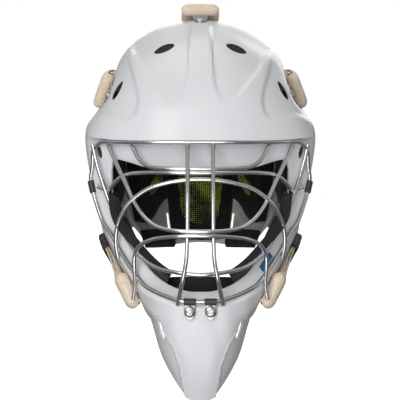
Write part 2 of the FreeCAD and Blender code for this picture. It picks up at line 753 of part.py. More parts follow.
for label, azimuths, levels, fall, thickness in BACK_PADS:
    far = UNDER_BACK + thickness * size("back_pad_thick")
    shape = slab(back_pad_at(azimuths, levels, fall), steps(*azimuths, 9), steps(0, 1, 9), UNDER_BACK, far)
    shape_node(label, shape)
LINER_FACE = UNDER_BACK + size("back_pad_thick") + size("pad_gap")
shape_node("backplate_spine_liner", slab(
    back_at, steps(-23, 23, 9), steps(-31, 43, 9), LINER_FACE, LINER_FACE + 1.5))
HEAD_LIFT = STRAP_LIFT + size("strap_thick") + 1.1
rivet_sites = [facing(back_at(a, e, -HEAD_LIFT), back_normal(a, e)) for a, e in RIVETS]
group("strap_rivets", rivet, rivet_sites, 0.0)

# ---------------------------------------------------------------- straps


def band(stations, width):
    """A flat band lofted through rectangles; each station is its centre, its outward normal and its thickness."""
    sections = []
    for i, (centre, outward, thickness) in enumerate(stations):
        before = stations[max(i - 1, 0)][0]
        after = stations[min(i + 1, len(stations) - 1)][0]
        sideways = outward.cross(after - before).normalize() * (width / 2)
        rise = outward * (thickness / 2)
        corners = [centre - sideways - rise, centre + sideways - rise, centre + sideways + rise,
                   centre - sideways + rise]
        sections.append(Part.makePolygon(corners + corners[:1]))
    return Part.makeLoft(sections, True, False)


def over_shell(station, ring, thickness, lift=2.2):
    """A band's station that rests on the shell."""
    return (shell_at(station, ring, -lift - thickness / 2), skin_normal(station, ring), thickness)


def over_back(azimuth, level, thickness):
    """A band's station that rests on the backplate."""
    return (back_at(azimuth, level, -STRAP_LIFT - thickness / 2), back_normal(azimuth, level), thickness)


STRAP = size("strap_thick")
LOOP_THICK = size("strap_loop_thick")
STRAP_ROUTES = {
    "crown_strap": [
        over_shell(0, 5.86, LOOP_THICK), over_shell(0, 6.05, LOOP_THICK), over_shell(0, 6.3, 8.5),
        over_shell(0, 6.55, STRAP), over_shell(0, 6.95, STRAP), (Vector(0, 86, 147), Vector(0, 0.6, 0.8), STRAP),
        over_back(0, 43, STRAP), over_back(0, 35, STRAP), over_back(0, 27, STRAP),
    ],
    "temple_strap_left": [
        over_shell(4.5, 5.0, LOOP_THICK), over_shell(4.52, 5.35, LOOP_THICK), over_shell(4.56, 5.8, 7.0),
        over_shell(4.6, 6.2, STRAP), over_shell(4.65, 6.9, STRAP), over_back(64, 23, STRAP),
        over_back(50, 21.5, STRAP), over_back(40, 20.5, STRAP), over_back(32, 20.0, STRAP),
    ],
    "jaw_strap_left": [
        over_shell(7.93, 2.75, LOOP_THICK), over_shell(7.88, 3.2, LOOP_THICK), over_shell(7.8, 3.8, 6.0),
        over_shell(7.66, 4.4, STRAP, 4.5), over_shell(7.5, 5.2, STRAP, 5.5), over_shell(7.36, 6.0, STRAP, 4.5),
        over_shell(7.25, 6.9, STRAP, 3.5), over_back(66, -22, STRAP), over_back(54, -21, STRAP),
        over_back(42, -20, STRAP),
    ],
}


def mirror_route(route):
    return [(mirrored(centre), mirrored(outward), thickness) for centre, outward, thickness in route]


for label, route in list(STRAP_ROUTES.items()):
    if label.endswith("_left"):
        STRAP_ROUTES[label.replace("_left", "_right")] = mirror_route(route)
rivet_holes = []
for site in rivet_sites:
    hole = Part.makeCylinder(2.4, 20, Vector(0, 0, -10))
    dent = Part.makeCylinder(RIVET_RADIUS + 0.5, 10, Vector(0, 0, -0.4))
    for cutter in (hole, dent):
        cutter.Placement = site
        rivet_holes.append(cutter)
for label, route in STRAP_ROUTES.items():
    shape_node(label, band(route, size("strap_width")).cut(rivet_holes))


def strap_slider(label, site):
    """A flat plastic loop round the strap."""
    outer = primitive("Part::Box", f"{label}_outer", {
        "Length": "sizes.slider_width", "Width": "sizes.slider_length",
        "Height": "sizes.strap_thick + 2 * sizes.slider_thick",
    }, Placement(Vector(-size("slider_width") / 2, -size("slider_length") / 2, 0), Rotation()))
    channel = primitive("Part::Box", f"{label}_channel", {
        "Length": "sizes.strap_width + 1.6", "Height": "sizes.strap_thick + 1.6",
    }, Placement(Vector(-size("strap_width") / 2 - 0.8, -30, size("slider_thick") - 0.8), Rotation()))
    channel.Width = 60
    slider = DOC.addObject("Part::Cut", label)
    slider.Base = outer
    slider.Tool = channel
    slider.Placement = site
    return keep(slider, label)


def slider_site():
    """The place of the left slider: round its strap, +Y along it."""
    before, middle, after = STRAP_ROUTES["jaw_strap_left"][3:6]
    under_strap = middle[0] - middle[1] * (STRAP / 2 + size("slider_thick"))
    return facing(under_strap, middle[1], after[0] - before[0])


strap_slider("jaw_strap_slider_left", slider_site())
strap_slider("jaw_strap_slider_right", mirror_site(slider_site()))

# ---------------------------------------------------------------- write
DOC.recompute()
for obj in NODES:
    if "Invalid" in obj.State or "Error" in obj.State:
        raise RuntimeError(f"{obj.Label} failed: {obj.State}")
    if obj.Shape.isNull() or not obj.Shape.isValid():
        raise RuntimeError(f"{obj.Label} has no valid shape")
os.makedirs("parts", exist_ok=True)
for obj in NODES:
    obj.Shape.exportStep(f"parts/{obj.Label}.step")
    print(obj.Label, round(obj.Shape.Volume / 1000, 2), "cm3", len(obj.Shape.Solids), "solids")
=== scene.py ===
import math
import bpy
import numpy as np
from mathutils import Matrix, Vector, noise


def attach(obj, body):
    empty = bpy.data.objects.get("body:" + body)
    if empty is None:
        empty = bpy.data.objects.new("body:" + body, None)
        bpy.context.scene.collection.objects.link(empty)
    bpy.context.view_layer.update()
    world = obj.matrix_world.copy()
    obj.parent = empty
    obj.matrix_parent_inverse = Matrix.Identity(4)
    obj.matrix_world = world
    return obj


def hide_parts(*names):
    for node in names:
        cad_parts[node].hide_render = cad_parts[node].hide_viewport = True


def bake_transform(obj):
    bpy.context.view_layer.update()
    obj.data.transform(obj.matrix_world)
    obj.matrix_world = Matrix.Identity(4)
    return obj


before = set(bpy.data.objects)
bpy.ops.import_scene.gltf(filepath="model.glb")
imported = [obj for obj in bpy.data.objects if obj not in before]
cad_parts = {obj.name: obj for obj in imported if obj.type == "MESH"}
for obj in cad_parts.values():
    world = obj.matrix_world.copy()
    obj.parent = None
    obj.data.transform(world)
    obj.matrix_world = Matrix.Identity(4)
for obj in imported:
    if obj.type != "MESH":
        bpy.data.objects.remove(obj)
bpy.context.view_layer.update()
MM = 0.001
SHELL, BACK = "shell", "backplate"

# The mask's lengths are worked out in millimetres and turned into metres when a mesh is made.


# ------------------------------------------------------------------ camera and light
CAMERA_PLACE = (-0.0003, -5.0, 0.0048)
FRAMED_HEIGHT = 0.384
SENSOR_MM = 36.0


def make_camera():
    data = bpy.data.cameras.new("camera")
    data.sensor_width = SENSOR_MM
    data.lens = SENSOR_MM * -CAMERA_PLACE[1] / FRAMED_HEIGHT
    camera = bpy.data.objects.new("camera", data)
    camera.location = CAMERA_PLACE
    camera.rotation_euler = (math.radians(90), 0, 0)
    bpy.context.scene.collection.objects.link(camera)
    bpy.context.scene.camera = camera


def area_light(name, place, target, size, power):
    data = bpy.data.lights.new(name, "AREA")
    data.shape = "RECTANGLE"
    data.size, data.size_y = size
    data.energy = power
    light = bpy.data.objects.new(name, data)
    light.location = place
    light.rotation_euler = (Vector(target) - Vector(place)).to_track_quat("-Z", "Y").to_euler()
    bpy.context.scene.collection.objects.link(light)


def make_world():
    """A studio that is bright above and dim below, in front of a plain white backdrop."""
    world = bpy.data.worlds.new("studio")
    world.use_nodes = True
    tree = world.node_tree
    place = tree.nodes.new("ShaderNodeTexCoord").outputs["Generated"]
    split = tree.nodes.new("ShaderNodeSeparateXYZ")
    tree.links.new(place, split.inputs["Vector"])
    spread = tree.nodes.new("ShaderNodeMapRange")
    spread.inputs["From Min"].default_value = -1.0
    tree.links.new(split.outputs["Z"], spread.inputs["Value"])
    ramp = tree.nodes.new("ShaderNodeValToRGB")
    ramp.color_ramp.elements[0].color = (0.30, 0.30, 0.31, 1)
    ramp.color_ramp.elements[1].color = (1.0, 1.0, 1.0, 1)
    ramp.color_ramp.elements[0].position = 0.35
    ramp.color_ramp.elements[1].position = 0.8
    tree.links.new(spread.outputs["Result"], ramp.inputs["Fac"])
    studio, backdrop = tree.nodes["Background"], tree.nodes.new("ShaderNodeBackground")
    tree.links.new(ramp.outputs["Color"], studio.inputs["Color"])
    studio.inputs["Strength"].default_value = 0.42
    backdrop.inputs["Color"].default_value = (1, 1, 1, 1)
    seen = tree.nodes.new("ShaderNodeLightPath").outputs["Is Camera Ray"]
    mix = tree.nodes.new("ShaderNodeMixShader")
    tree.links.new(seen, mix.inputs["Fac"])
    tree.links.new(studio.outputs["Background"], mix.inputs[1])
    tree.links.new(backdrop.outputs["Background"], mix.inputs[2])
    tree.links.new(mix.outputs["Shader"], tree.nodes["World Output"].inputs["Surface"])
    bpy.context.scene.world = world


LIGHTS = [
    # name, place, target, size, power
    ("key", (-0.9, -2.3, 0.9), (0, 0, 0.02), (1.2, 1.2), 18),
    ("front_fill", (-0.3, -3.0, 0.0), (0, 0, 0), (2.2, 1.8), 23),
    ("low_front", (-0.3, -1.7, -1.2), (0, 0, -0.02), (1.6, 1.0), 12),
    ("left_side", (-2.2, -0.6, 0.3), (0, 0, 0.05), (1.0, 1.4), 1.0),
    ("right_side", (2.2, -0.6, 0.4), (0, 0, 0.05), (0.8, 1.2), 1.5),
    ("top", (-0.1, 0.3, 1.9), (0, 0, 0), (1.2, 1.2), 6),
    ("rear", (0.3, 2.0, 1.0), (0, 0, 0), (1.6, 1.2), 14),
]
make_camera()
make_world()
for light in LIGHTS:
    area_light(*light)
bpy.context.scene.view_settings.view_transform = "Standard"


# ------------------------------------------------------------------ materials
class Shader:
    """A node material with a few shorthands for procedural detail."""

    def __init__(self, name, colour, roughness, metallic=0.0):
        self.material = bpy.data.materials.new(name)
        self.material.use_nodes = True
        self.tree = self.material.node_tree
        self.surface = self.tree.nodes["Principled BSDF"]
        self.set("Base Color", (*colour, 1))
        self.set("Roughness", roughness)
        self.set("Metallic", metallic)
        self.place = self.tree.nodes.new("ShaderNodeTexCoord").outputs["Object"]
        self.last_bump = None

    def set(self, socket, value):
        self.surface.inputs[socket].default_value = value

    def link(self, output, node_input):
        self.tree.links.new(output, node_input)

    def node(self, kind, **inputs):
        node = self.tree.nodes.new(kind)
        for name, value in inputs.items():
            node.inputs[name.replace("_", " ")].default_value = value
        return node

    def noise(self, scale, detail=3.0, roughness=0.55, where=None):
        """Noise whose grain is about 1 / scale metres."""
        node = self.node("ShaderNodeTexNoise", Scale=scale, Detail=detail, Roughness=roughness)
        self.link(where or self.place, node.inputs["Vector"])
        return node.outputs["Fac"]

    def ramp(self, value, stops):
        """A colour ramp from (position, colour) stops."""
        node = self.tree.nodes.new("ShaderNodeValToRGB")
        ramp = node.color_ramp
        while len(ramp.elements) < len(stops):
            ramp.elements.new(0.5)
        for element, (position, colour) in zip(ramp.elements, stops):
            element.position = position
            element.color = (*colour, 1)
        self.link(value, node.inputs["Fac"])
        return node.outputs["Color"]

    def span(self, value, low, high):
        """Spreads a 0..1 value over low..high."""
        node = self.node("ShaderNodeMapRange", To_Min=low, To_Max=high)
        self.link(value, node.inputs["Value"])
        return node.outputs["Result"]

    def maths(self, operation, a, b):
        node = self.tree.nodes.new("ShaderNodeMath")
        node.operation = operation
        for socket, value in zip(node.inputs, (a, b)):
            if isinstance(value, (int, float)):
                socket.default_value = value
            else:
                self.link(value, socket)
        return node.outputs["Value"]

    def bump(self, height, distance, strength=1.0):
        """Adds a bump of a height in metres on top of the last one."""
        node = self.node("ShaderNodeBump", Strength=strength, Distance=distance)
        self.link(height, node.inputs["Height"])
        if self.last_bump is not None:
            self.link(self.last_bump, node.inputs["Normal"])
        self.last_bump = node.outputs["Normal"]
        self.link(self.last_bump, self.surface.inputs["Normal"])

    def colour(self, output):
        self.link(output, self.surface.inputs["Base Color"])

    def roughness(self, output):
        self.link(output, self.surface.inputs["Roughness"])


def white_paint(name, tint):
    """Satin white lacquer: a faint orange peel, cloudy tint and a few dull handling marks."""
    shader = Shader(name, tint, 0.34)
    clouds = shader.noise(14, 4)
    darker = tuple(channel * 0.94 for channel in tint)
    shader.colour(shader.ramp(clouds, [(0.35, darker), (0.65, tint)]))
    shader.roughness(shader.span(shader.noise(60, 5, 0.7), 0.28, 0.46))
    shader.bump(shader.noise(700, 2), 0.00012, 0.35)
    shader.bump(shader.noise(90, 2), 0.0004, 0.12)
    shader.set("Coat Weight", 0.25)
    shader.set("Coat Roughness", 0.2)
    return shader.material


def steel(name, colour, roughness, grain):
    """Plated steel with fine drawing lines and slightly uneven gloss."""
    shader = Shader(name, colour, roughness, 1.0)
    patchy = shader.noise(240, 4, 0.6)
    shader.roughness(shader.span(patchy, roughness * 0.7, roughness * 1.5))
    shader.bump(shader.noise(grain, 3), 0.00006, 0.25)
    return shader.material


def foam(name, colour):
    """Brushed black foam: fine cells, soft sheen, and a dusty variation."""
    shader = Shader(name, colour, 0.82)
    lighter = tuple(channel * 1.9 for channel in colour)
    shader.colour(shader.ramp(shader.noise(55, 5, 0.65), [(0.3, colour), (0.75, lighter)]))
    cells = shader.node("ShaderNodeTexVoronoi", Scale=1100)
    shader.link(shader.place, cells.inputs["Vector"])
    shader.bump(cells.outputs["Distance"], 0.0003, 0.5)
    shader.bump(shader.noise(260, 4), 0.0006, 0.3)
    shader.set("Specular IOR Level", 0.3)
    shader.set("Sheen Weight", 0.08)
    shader.set("Sheen Roughness", 0.6)
    return shader.material


def webbing(name):
    """Beige woven elastic. U runs along the strap and V across it, both in metres."""
    shader = Shader(name, (0.72, 0.58, 0.42), 0.9)
    strap_place = shader.tree.nodes.new("ShaderNodeUVMap").outputs["UV"]
    pale, tan, shade = (0.98, 0.85, 0.69), (0.92, 0.77, 0.59), (0.76, 0.58, 0.42)
    fuzz = shader.noise(420, 6, 0.7)
    shader.colour(shader.ramp(fuzz, [(0.3, shade), (0.47, tan), (0.68, pale)]))
    for direction, pitch, height in (("X", 0.0021, 0.0005), ("Y", 0.0013, 0.0003)):
        rib = shader.node("ShaderNodeTexWave", Scale=0.314 / pitch, Distortion=0.6, Detail=1.0)
        rib.bands_direction = direction
        shader.link(strap_place, rib.inputs["Vector"])
        shader.bump(rib.outputs["Fac"], height, 0.55)
    shader.bump(shader.noise(1300, 4, 0.7), 0.0006, 0.7)
    shader.set("Sheen Weight", 0.5)
    shader.set("Sheen Roughness", 0.5)
    shader.set("Sheen Tint", (1.0, 0.9, 0.78, 1))
    return shader.material


def printed_mesh(name):
    """Black knitted mesh with a green dot print that fades out towards the ends."""
    shader = Shader(name, (0.02, 0.02, 0.02), 0.85)
    cloth_place = shader.tree.nodes.new("ShaderNodeUVMap").outputs["UV"]
    dots = shader.node("ShaderNodeTexVoronoi", Scale=520, Randomness=0.15)
    shader.link(cloth_place, dots.inputs["Vector"])
    patches = shader.noise(95, 3, 0.6, cloth_place)
    stripes = shader.node("ShaderNodeTexWave", Scale=16, Distortion=3.0, Detail=2.0)
    stripes.bands_direction = "DIAGONAL"
    shader.link(cloth_place, stripes.inputs["Vector"])
    split = shader.tree.nodes.new("ShaderNodeSeparateXYZ")
    shader.link(cloth_place, split.inputs["Vector"])
    centred = shader.maths("ABSOLUTE", shader.maths("SUBTRACT", split.outputs["Y"], 0.062), 0)
    fade = shader.maths("SUBTRACT", 1.0, shader.maths("MULTIPLY", centred, 14.0))
    ink = shader.maths("ADD", shader.maths("MULTIPLY", patches, 0.75), shader.maths("MULTIPLY", fade, 0.55))
    ink = shader.maths("ADD", ink, shader.maths("MULTIPLY", stripes.outputs["Fac"], 0.3))
    dot_edge = shader.maths("MULTIPLY", dots.outputs["Distance"], 1.65)
    printed = shader.maths("GREATER_THAN", shader.maths("SUBTRACT", ink, dot_edge), 0.2)
    shader.colour(shader.ramp(printed, [(0.2, (0.018, 0.02, 0.014)), (0.8, (0.78, 0.95, 0.08))]))
    knit = shader.node("ShaderNodeTexVoronoi", Scale=900)
    shader.link(cloth_place, knit.inputs["Vector"])
    shader.bump(knit.outputs["Distance"], 0.0004, 0.7)
    shader.set("Sheen Weight", 0.3)
    return shader.material


def moulded(name, colour, roughness):
    """Moulded plastic with a fine grain."""
    shader = Shader(name, colour, roughness)
    brighter = tuple(channel * 1.25 + 0.004 for channel in colour)
    shader.colour(shader.ramp(shader.noise(120, 4), [(0.35, colour), (0.7, brighter)]))
    shader.bump(shader.noise(1400, 3), 0.0002, 0.4)
    return shader.material


WHITE = white_paint("shell_white_lacquer", (0.79, 0.80, 0.82))
BACK_WHITE = white_paint("backplate_white_lacquer", (0.76, 0.77, 0.79))
INSIDE = moulded("raw_inner_face", (0.80, 0.75, 0.68), 0.7)
SHELL_INSIDE = moulded("shell_inner_face", (0.10, 0.10, 0.10), 0.75)
CHROME = steel("polished_wire", (0.66, 0.66, 0.67), 0.17, 900)
PLATED = steel("plated_hardware", (0.58, 0.58, 0.59), 0.24, 1500)
SLEEVE = moulded("dark_rubber_sleeve", (0.03, 0.03, 0.032), 0.42)
FOAM = foam("black_foam", (0.011, 0.011, 0.012))
WEBBING = webbing("beige_elastic")
PRINT = printed_mesh("green_printed_mesh")
BLACK = moulded("black_plastic", (0.016, 0.016, 0.017), 0.5)
BLUE = moulded("blue_vinyl", (0.0, 0.13, 0.32), 0.32)


# ------------------------------------------------------------------ mesh helpers
def made(name, verts, faces, materials, sharp=None, face_slots=None):
    """A smooth-shaded object from points in millimetres."""
    mesh = bpy.data.meshes.new(name)
    points = [tuple(v * MM for v in point) for point in verts]
    mesh.from_pydata(points, [], [tuple(int(i) for i in face) for face in faces])
    mesh.validate()
    for material in materials:
        mesh.materials.append(material)
    mesh.polygons.foreach_set("use_smooth", [True] * len(mesh.polygons))
    if face_slots is not None:
        mesh.polygons.foreach_set("material_index", face_slots)
    if sharp is not None:
        mesh.set_sharp_from_angle(angle=math.radians(sharp))
    obj = bpy.data.objects.new(name, mesh)
    bpy.context.scene.collection.objects.link(obj)
    return obj


def grid_faces(rows, columns, wrap_columns=False, start=0):
    """Quads of a grid stored row after row."""
    faces = []
    for i in range(rows - 1):
        for j in range(columns if wrap_columns else columns - 1):
            k = (j + 1) % columns
            faces.append((start + i * columns + j, start + i * columns + k,
                          start + (i + 1) * columns + k, start + (i + 1) * columns + j))
    return faces


def closing_faces(rows, columns):
    """Quads from the last row of a wrapped grid back to its first."""
    last = (rows - 1) * columns
    return [(last + j, last + (j + 1) % columns, (j + 1) % columns, j) for j in range(columns)]


def tube_faces(rows, columns, start=0):
    """Faces of a tube whose rings are stored one after another, with a cap at each end."""
    last = start + (rows - 1) * columns
    caps = [tuple(range(start, start + columns))[::-1], tuple(range(last, last + columns))]
    return grid_faces(rows, columns, True, start) + caps


def flipped(faces):
    return [face[::-1] for face in faces]


def grid_border(rows, columns):
    """The numbers of a grid's outermost points, once round."""
    border = [(0, j) for j in range(columns - 1)] + [(i, columns - 1) for i in range(rows - 1)]
    border += [(rows - 1, j) for j in range(columns - 1, 0, -1)]
    border += [(i, 0) for i in range(rows - 1, 0, -1)]
    return [i * columns + j for i, j in border]


def set_uvs(obj, name, uvs):
    """Gives the mesh a UV layer from one pair for each vertex."""
    layer = obj.data.uv_layers.new(name=name)
    for loop in obj.data.loops:
        layer.data[loop.index].uv = uvs[loop.vertex_index]


def refresh_mesh(obj):
    """Gives the object the mesh its modifiers make, and drops them."""
    graph = bpy.context.evaluated_depsgraph_get()
    mesh = bpy.data.meshes.new_from_object(obj.evaluated_get(graph))
    obj.modifiers.clear()
    obj.data = mesh


def cut(obj, cutters, sharp=35):
    """Subtracts closed meshes from obj, and removes them."""
    for cutter in cutters:
        modifier = obj.modifiers.new("cut", "BOOLEAN")
        modifier.operation = "DIFFERENCE"
        modifier.solver = "EXACT"
        modifier.object = cutter
    refresh_mesh(obj)
    for cutter in cutters:
        bpy.data.objects.remove(cutter)
    obj.data.set_sharp_from_angle(angle=math.radians(sharp))


def unit(v):
    return v / np.linalg.norm(v, axis=-1, keepdims=True)


def signed_power(value, exponent):
    """Raises the size of a value to a power and keeps its sign."""
    return np.sign(value) * np.abs(value) ** exponent


def smooth_step(x):
    x = np.clip(x, 0, 1)
    return x * x * (3 - 2 * x)


def past(value, start, width):
    """Rises from 0 at a start to 1 a width further on."""
    return smooth_step((value - start) / width)


def axes_at(outward, upward):
    """Columns x, y, z of a frame whose z points outward and whose y is as near upward as it can be."""
    z = unit(np.asarray(outward, float))
    x = unit(np.cross(upward, z))
    return np.stack([x, np.cross(z, x), z], axis=-1)


def placed(points, centre, axes):
    """Points from a local frame to the mask's."""
    return np.asarray(centre) + np.asarray(points, float) @ axes.T


LENS_POINT = 2 / 1.7
LENS_RINGS = [
    # height, width as a share of the slot's
    (-16, 1.0), (-0.9, 1.0), (-0.3, 1.04), (0.3, 1.12), (9, 1.9),
]


def lens_cutter(centre, outward, upward, length, width, wall):
    """A closed prism with a lens-shaped outline, its long way along upward and its mouth flared.

    The cut's walls take the material slot named by wall.
    """
    turns = np.linspace(0, 2 * np.pi, 40, endpoint=False)
    across = signed_power(np.cos(turns), LENS_POINT) * width / 2
    outline = np.stack([across, np.sin(turns) * length / 2], -1)
    rings = []
    for height, scale in LENS_RINGS:
        rings += [(x * scale, y * (scale * 0.5 + 0.5), height) for x, y in outline]
    faces = tube_faces(len(LENS_RINGS), len(outline))
    verts = placed(rings, centre, axes_at(outward, upward))
    return made("cutter", verts, faces, [WHITE, SHELL_INSIDE], None, [wall] * len(faces))


# ------------------------------------------------------------------ the shell's surface
# One row for each station of the wearer's left half, from the crown round the cheek to the chin. Each row
# runs from the face opening outwards: opening edge, root of the brow panel or land, brow lip or land
# edge, and then five points over the shell to its rear or lower edge.
STATIONS = [
    [(0, -96, 34), (0, -101, 68), (0, -120, 60), (0, -113, 97), (0, -93, 132), (0, -57, 162),
     (0, 0, 177), (0, 66, 158)],
    [(26, -95, 34), (26, -100, 68), (28, -119, 60), (27, -111, 97), (26, -91, 131), (25, -56, 160),
     (24, 0, 175.5), (21, 65, 157)],
    [(50, -91, 35), (51, -95, 67), (55, -112, 60), (53, -104, 95), (51, -84, 127), (48, -50, 153),
     (45, 0, 168), (41, 62, 151)],
    [(79, -81, 43), (75, -85, 65), (82, -97, 61), (78, -89, 92), (74, -72, 118), (71, -42, 139),
     (67, 2, 152), (56, 60, 138)],
    [(84, -78, 34), (94, -75, 62), (100, -79, 63), (97, -66, 88), (92, -46, 108), (86, -20, 122),
     (79, 14, 130), (70, 58, 121)],
    [(84, -77, 25), (103, -67, 52), (107.5, -60, 60), (109.5, -38, 68), (107, -12, 77), (101, 10, 86),
     (94, 32, 93), (85, 56, 98)],
    [(83, -77, 6), (98.5, -68, 12), (100.5, -64, 14), (103, -38, 20), (102, -10, 26), (99, 14, 32),
     (94, 36, 38), (88, 54, 45)],
    [(74, -88, -21), (84, -82, -28), (87, -78, -30), (91, -52, -27), (92, -24, -22), (91, 2, -16),
     (89, 24, -10), (86, 44, -2)],
    [(49, -106, -58), (58, -108, -72), (60, -105, -76), (61.5, -84, -82), (61.5, -56, -81), (64, -28, -75),
     (69, 0, -66), (76, 28, -52)],
    [(35, -113, -71), (44, -119, -83), (46, -118, -87), (49.5, -103, -98), (50.5, -82, -103),
     (51, -60, -104), (52, -38, -101), (55, -14, -94)],
    [(24, -116, -77), (32, -124, -88), (34, -124, -92), (41, -114, -104), (44, -101, -110),
     (46, -86, -113), (47, -69, -115), (48, -52, -114)],
    [(14, -117.5, -80), (20, -127, -90), (22, -129, -95), (27, -126, -108), (31, -119, -123),
     (34, -108, -134), (36.5, -95, -142), (37, -81, -147)],
    [(7, -118, -81), (9, -128, -91), (10, -130, -97), (13, -128, -111), (16, -124, -129),
     (17, -118, -147), (17.5, -109, -164), (16.5, -99, -179)],
    [(0, -118, -81), (0, -128, -91), (0, -131, -97), (0, -129, -112), (0, -125, -130), (0, -119, -150),
     (0, -111, -169), (0, -102, -185)],
]
LAST = len(STATIONS) - 1
LOOP = 2 * LAST
LIP, EDGE = 2, 7
HALF_NET = np.array(STATIONS, float)
NET = np.concatenate([HALF_NET, HALF_NET[-2:0:-1] * (-1, 1, 1)])
LAST_ROW = 6.985
WALL = 4.0
WAIST_DEPTH = 9.0
WAIST_START, WAIST_MIDDLE, WAIST_END = 3.55, 4.5, 5.05
WAIST_RING = 2.95


def smooth_between(a, b, c, d, t):
    """A smooth curve from b to c whose slope looks at a and d."""
    slope_b, slope_c = (c - a) * 0.5, (d - b) * 0.5
    t2, t3 = t * t, t * t * t
    start = b * (2 * t3 - 3 * t2 + 1) + slope_b * (t3 - 2 * t2 + t)
    return start + c * (3 * t2 - 2 * t3) + slope_c * (t3 - t2)


def ring_points(stations, ring):
    """Points of one ring of the net, for an array of stations."""
    first = np.floor(stations).astype(int)
    t = (stations - first)[:, None]
    return smooth_between(*(NET[(first + step) % LOOP, ring] for step in (-1, 0, 1, 2)), t)


def folded(stations):
    """Stations counted from the crown on either side."""
    around = np.mod(stations, LOOP)
    return np.minimum(around, LOOP - around)


def waist(stations, ring):
    """How far the temple is pinched in above the flare of the brow visor."""
    half = folded(stations)
    along = past(half, WAIST_START, WAIST_MIDDLE - WAIST_START)
    along = along * (1 - past(half, WAIST_MIDDLE, WAIST_END - WAIST_MIDDLE))
    across = smooth_step(ring - WAIST_RING) * (1 - 0.6 * past(ring, 5.5, 1.5))
    pinch = np.zeros((len(half), 3))
    pinch[:, 0] = np.where(np.mod(stations, LOOP) <= LAST, 1, -1) * WAIST_DEPTH * along * across
    return pinch


def skin(stations, ring):
    """The shell's outer surface before its ribs: the net's, drawn in at the temples."""
    stations = np.atleast_1d(np.asarray(stations, float))
    return net_skin(stations, ring) - waist(stations, ring)


def net_skin(stations, ring):
    """The net's surface: flat between the first three rings, then smooth."""
    if ring <= LIP:
        first = min(int(ring), LIP - 1)
        start = ring_points(stations, first)
        return start + (ring_points(stations, first + 1) - start) * (ring - first)
    first = min(int(ring), EDGE - 1)
    b, c = ring_points(stations, first), ring_points(stations, first + 1)
    a = ring_points(stations, first - 1) if first > LIP else b * 2 - c
    d = ring_points(stations, first + 2) if first < EDGE - 1 else c * 2 - b
    return smooth_between(a, b, c, d, ring - first)


def skin_normal(stations, ring):
    """Outward directions of the shell's surface."""
    step = 0.04
    stations = np.atleast_1d(np.asarray(stations, float))
    low = max(ring - step, LIP if ring >= LIP else 0)
    high = min(ring + step, EDGE)
    along = skin(stations + step, ring) - skin(stations - step, ring)
    return unit(np.cross(along, skin(stations, high) - skin(stations, low)))


def shell_at(station, ring, depth):
    """A point a given depth under the shell's outer surface."""
    return (skin(station, ring) - skin_normal(station, ring) * depth)[0]


# Boundaries of the sunk panels, as rings and the station at each.
RIB_EDGE = ([2.8, 3.1, 3.5, 4.0, 5.0, 6.0, 7.0], [0.92, 0.62, 0.46, 0.41, 0.36, 0.34, 0.34])
PANEL_EDGE = (
    [2.8, 3.08, 3.57, 4.15, 4.8, 5.4, 6.0, 7.0],
    [0.92, 1.27, 1.78, 2.3, 2.63, 2.84, 2.9, 2.95])
SIDE_EDGE = (
    [2.5, 2.75, 3.1, 3.5, 4.3, 5.0, 5.4, 6.0, 7.0],
    [2.55, 2.24, 2.16, 2.27, 2.6, 2.84, 2.95, 3.05, 3.1])
CHIN_CREASE = ([2.9, 3.4, 3.9, 4.4, 5.4, 7.0], [9.1, 9.85, 10.6, 11.35, 11.9, 12.1])
PETAL_SINK, SIDE_SINK, CHIN_SIDE_SINK, CHIN_FRONT_SINK = 3.3, 3.0, 2.4, 0.9
SOFT_EDGE, CREASE_EDGE = 0.12, 0.16


def relief(stations, ring):
    """How far the ribs and panels stand out of the plain surface, in millimetres."""
    s = folded(stations)
    petal = past(s, np.interp(ring, *RIB_EDGE), SOFT_EDGE)
    petal = petal * smooth_step((np.interp(ring, *PANEL_EDGE) - s) / SOFT_EDGE)
    petal = petal * past(ring, 2.75, 0.9) * (1 - past(ring, 5.25, 0.7))
    side = past(s, np.interp(ring, *SIDE_EDGE), SOFT_EDGE * 1.3)
    side = side * smooth_step((ring - 2.5 - 0.12 * np.maximum(s - 2.5, 0)) / 0.35)
    side = side * (1 - past(s, 3.7, 1.2)) * (1 - past(ring, 4.3, 1.2))
    crease = np.interp(ring, *CHIN_CREASE)
    chin_side = smooth_step((crease - s) / CREASE_EDGE) * past(s, 8.7, 0.9) * past(ring, 2.5, 1.5)
    chin_front = past(s, crease, CREASE_EDGE) * past(ring, 2.6, 1.8)
    sunk = PETAL_SINK * petal + SIDE_SINK * side
    return -sunk - CHIN_SIDE_SINK * chin_side - CHIN_FRONT_SINK * chin_front


def corner_rows(stations, ring, before, after, count):
    """Rows that round the fold at a ring, from before to after it, in millimetres."""
    corner = ring_points(stations, ring)
    back = ring_points(stations, ring - 1) - corner
    beyond = skin(stations, ring + 0.05) if ring == LIP else ring_points(stations, ring + 1)
    ahead = beyond - corner
    back_length = np.linalg.norm(back, axis=1, keepdims=True)
    ahead_length = np.linalg.norm(ahead, axis=1, keepdims=True) * (6 if ring == LIP else 1)
    start = corner + unit(back) * np.minimum(before, 0.4 * back_length)
    end = corner + unit(ahead) * np.minimum(after, 0.4 * ahead_length)
    return [start * (1 - t) ** 2 + corner * 2 * t * (1 - t) + end * t * t for t in np.linspace(0, 1, count)]


def shell_rows(stations):
    """Outer rows from the opening edge to the rear edge."""
    rows = [skin(stations, r) for r in np.linspace(0.04, 0.8, 8)]
    rows += corner_rows(stations, 1, 2.5, 2.0, 5)
    rows += [skin(stations, r) for r in np.linspace(1.42, 1.58, 2)]
    rows += corner_rows(stations, LIP, 1.6, 2.2, 7)
    for ring in np.linspace(2.16, LAST_ROW, 90):
        rise = relief(stations, ring)[:, None]
        rows.append(skin(stations, ring) + skin_normal(stations, ring) * rise)
    return rows


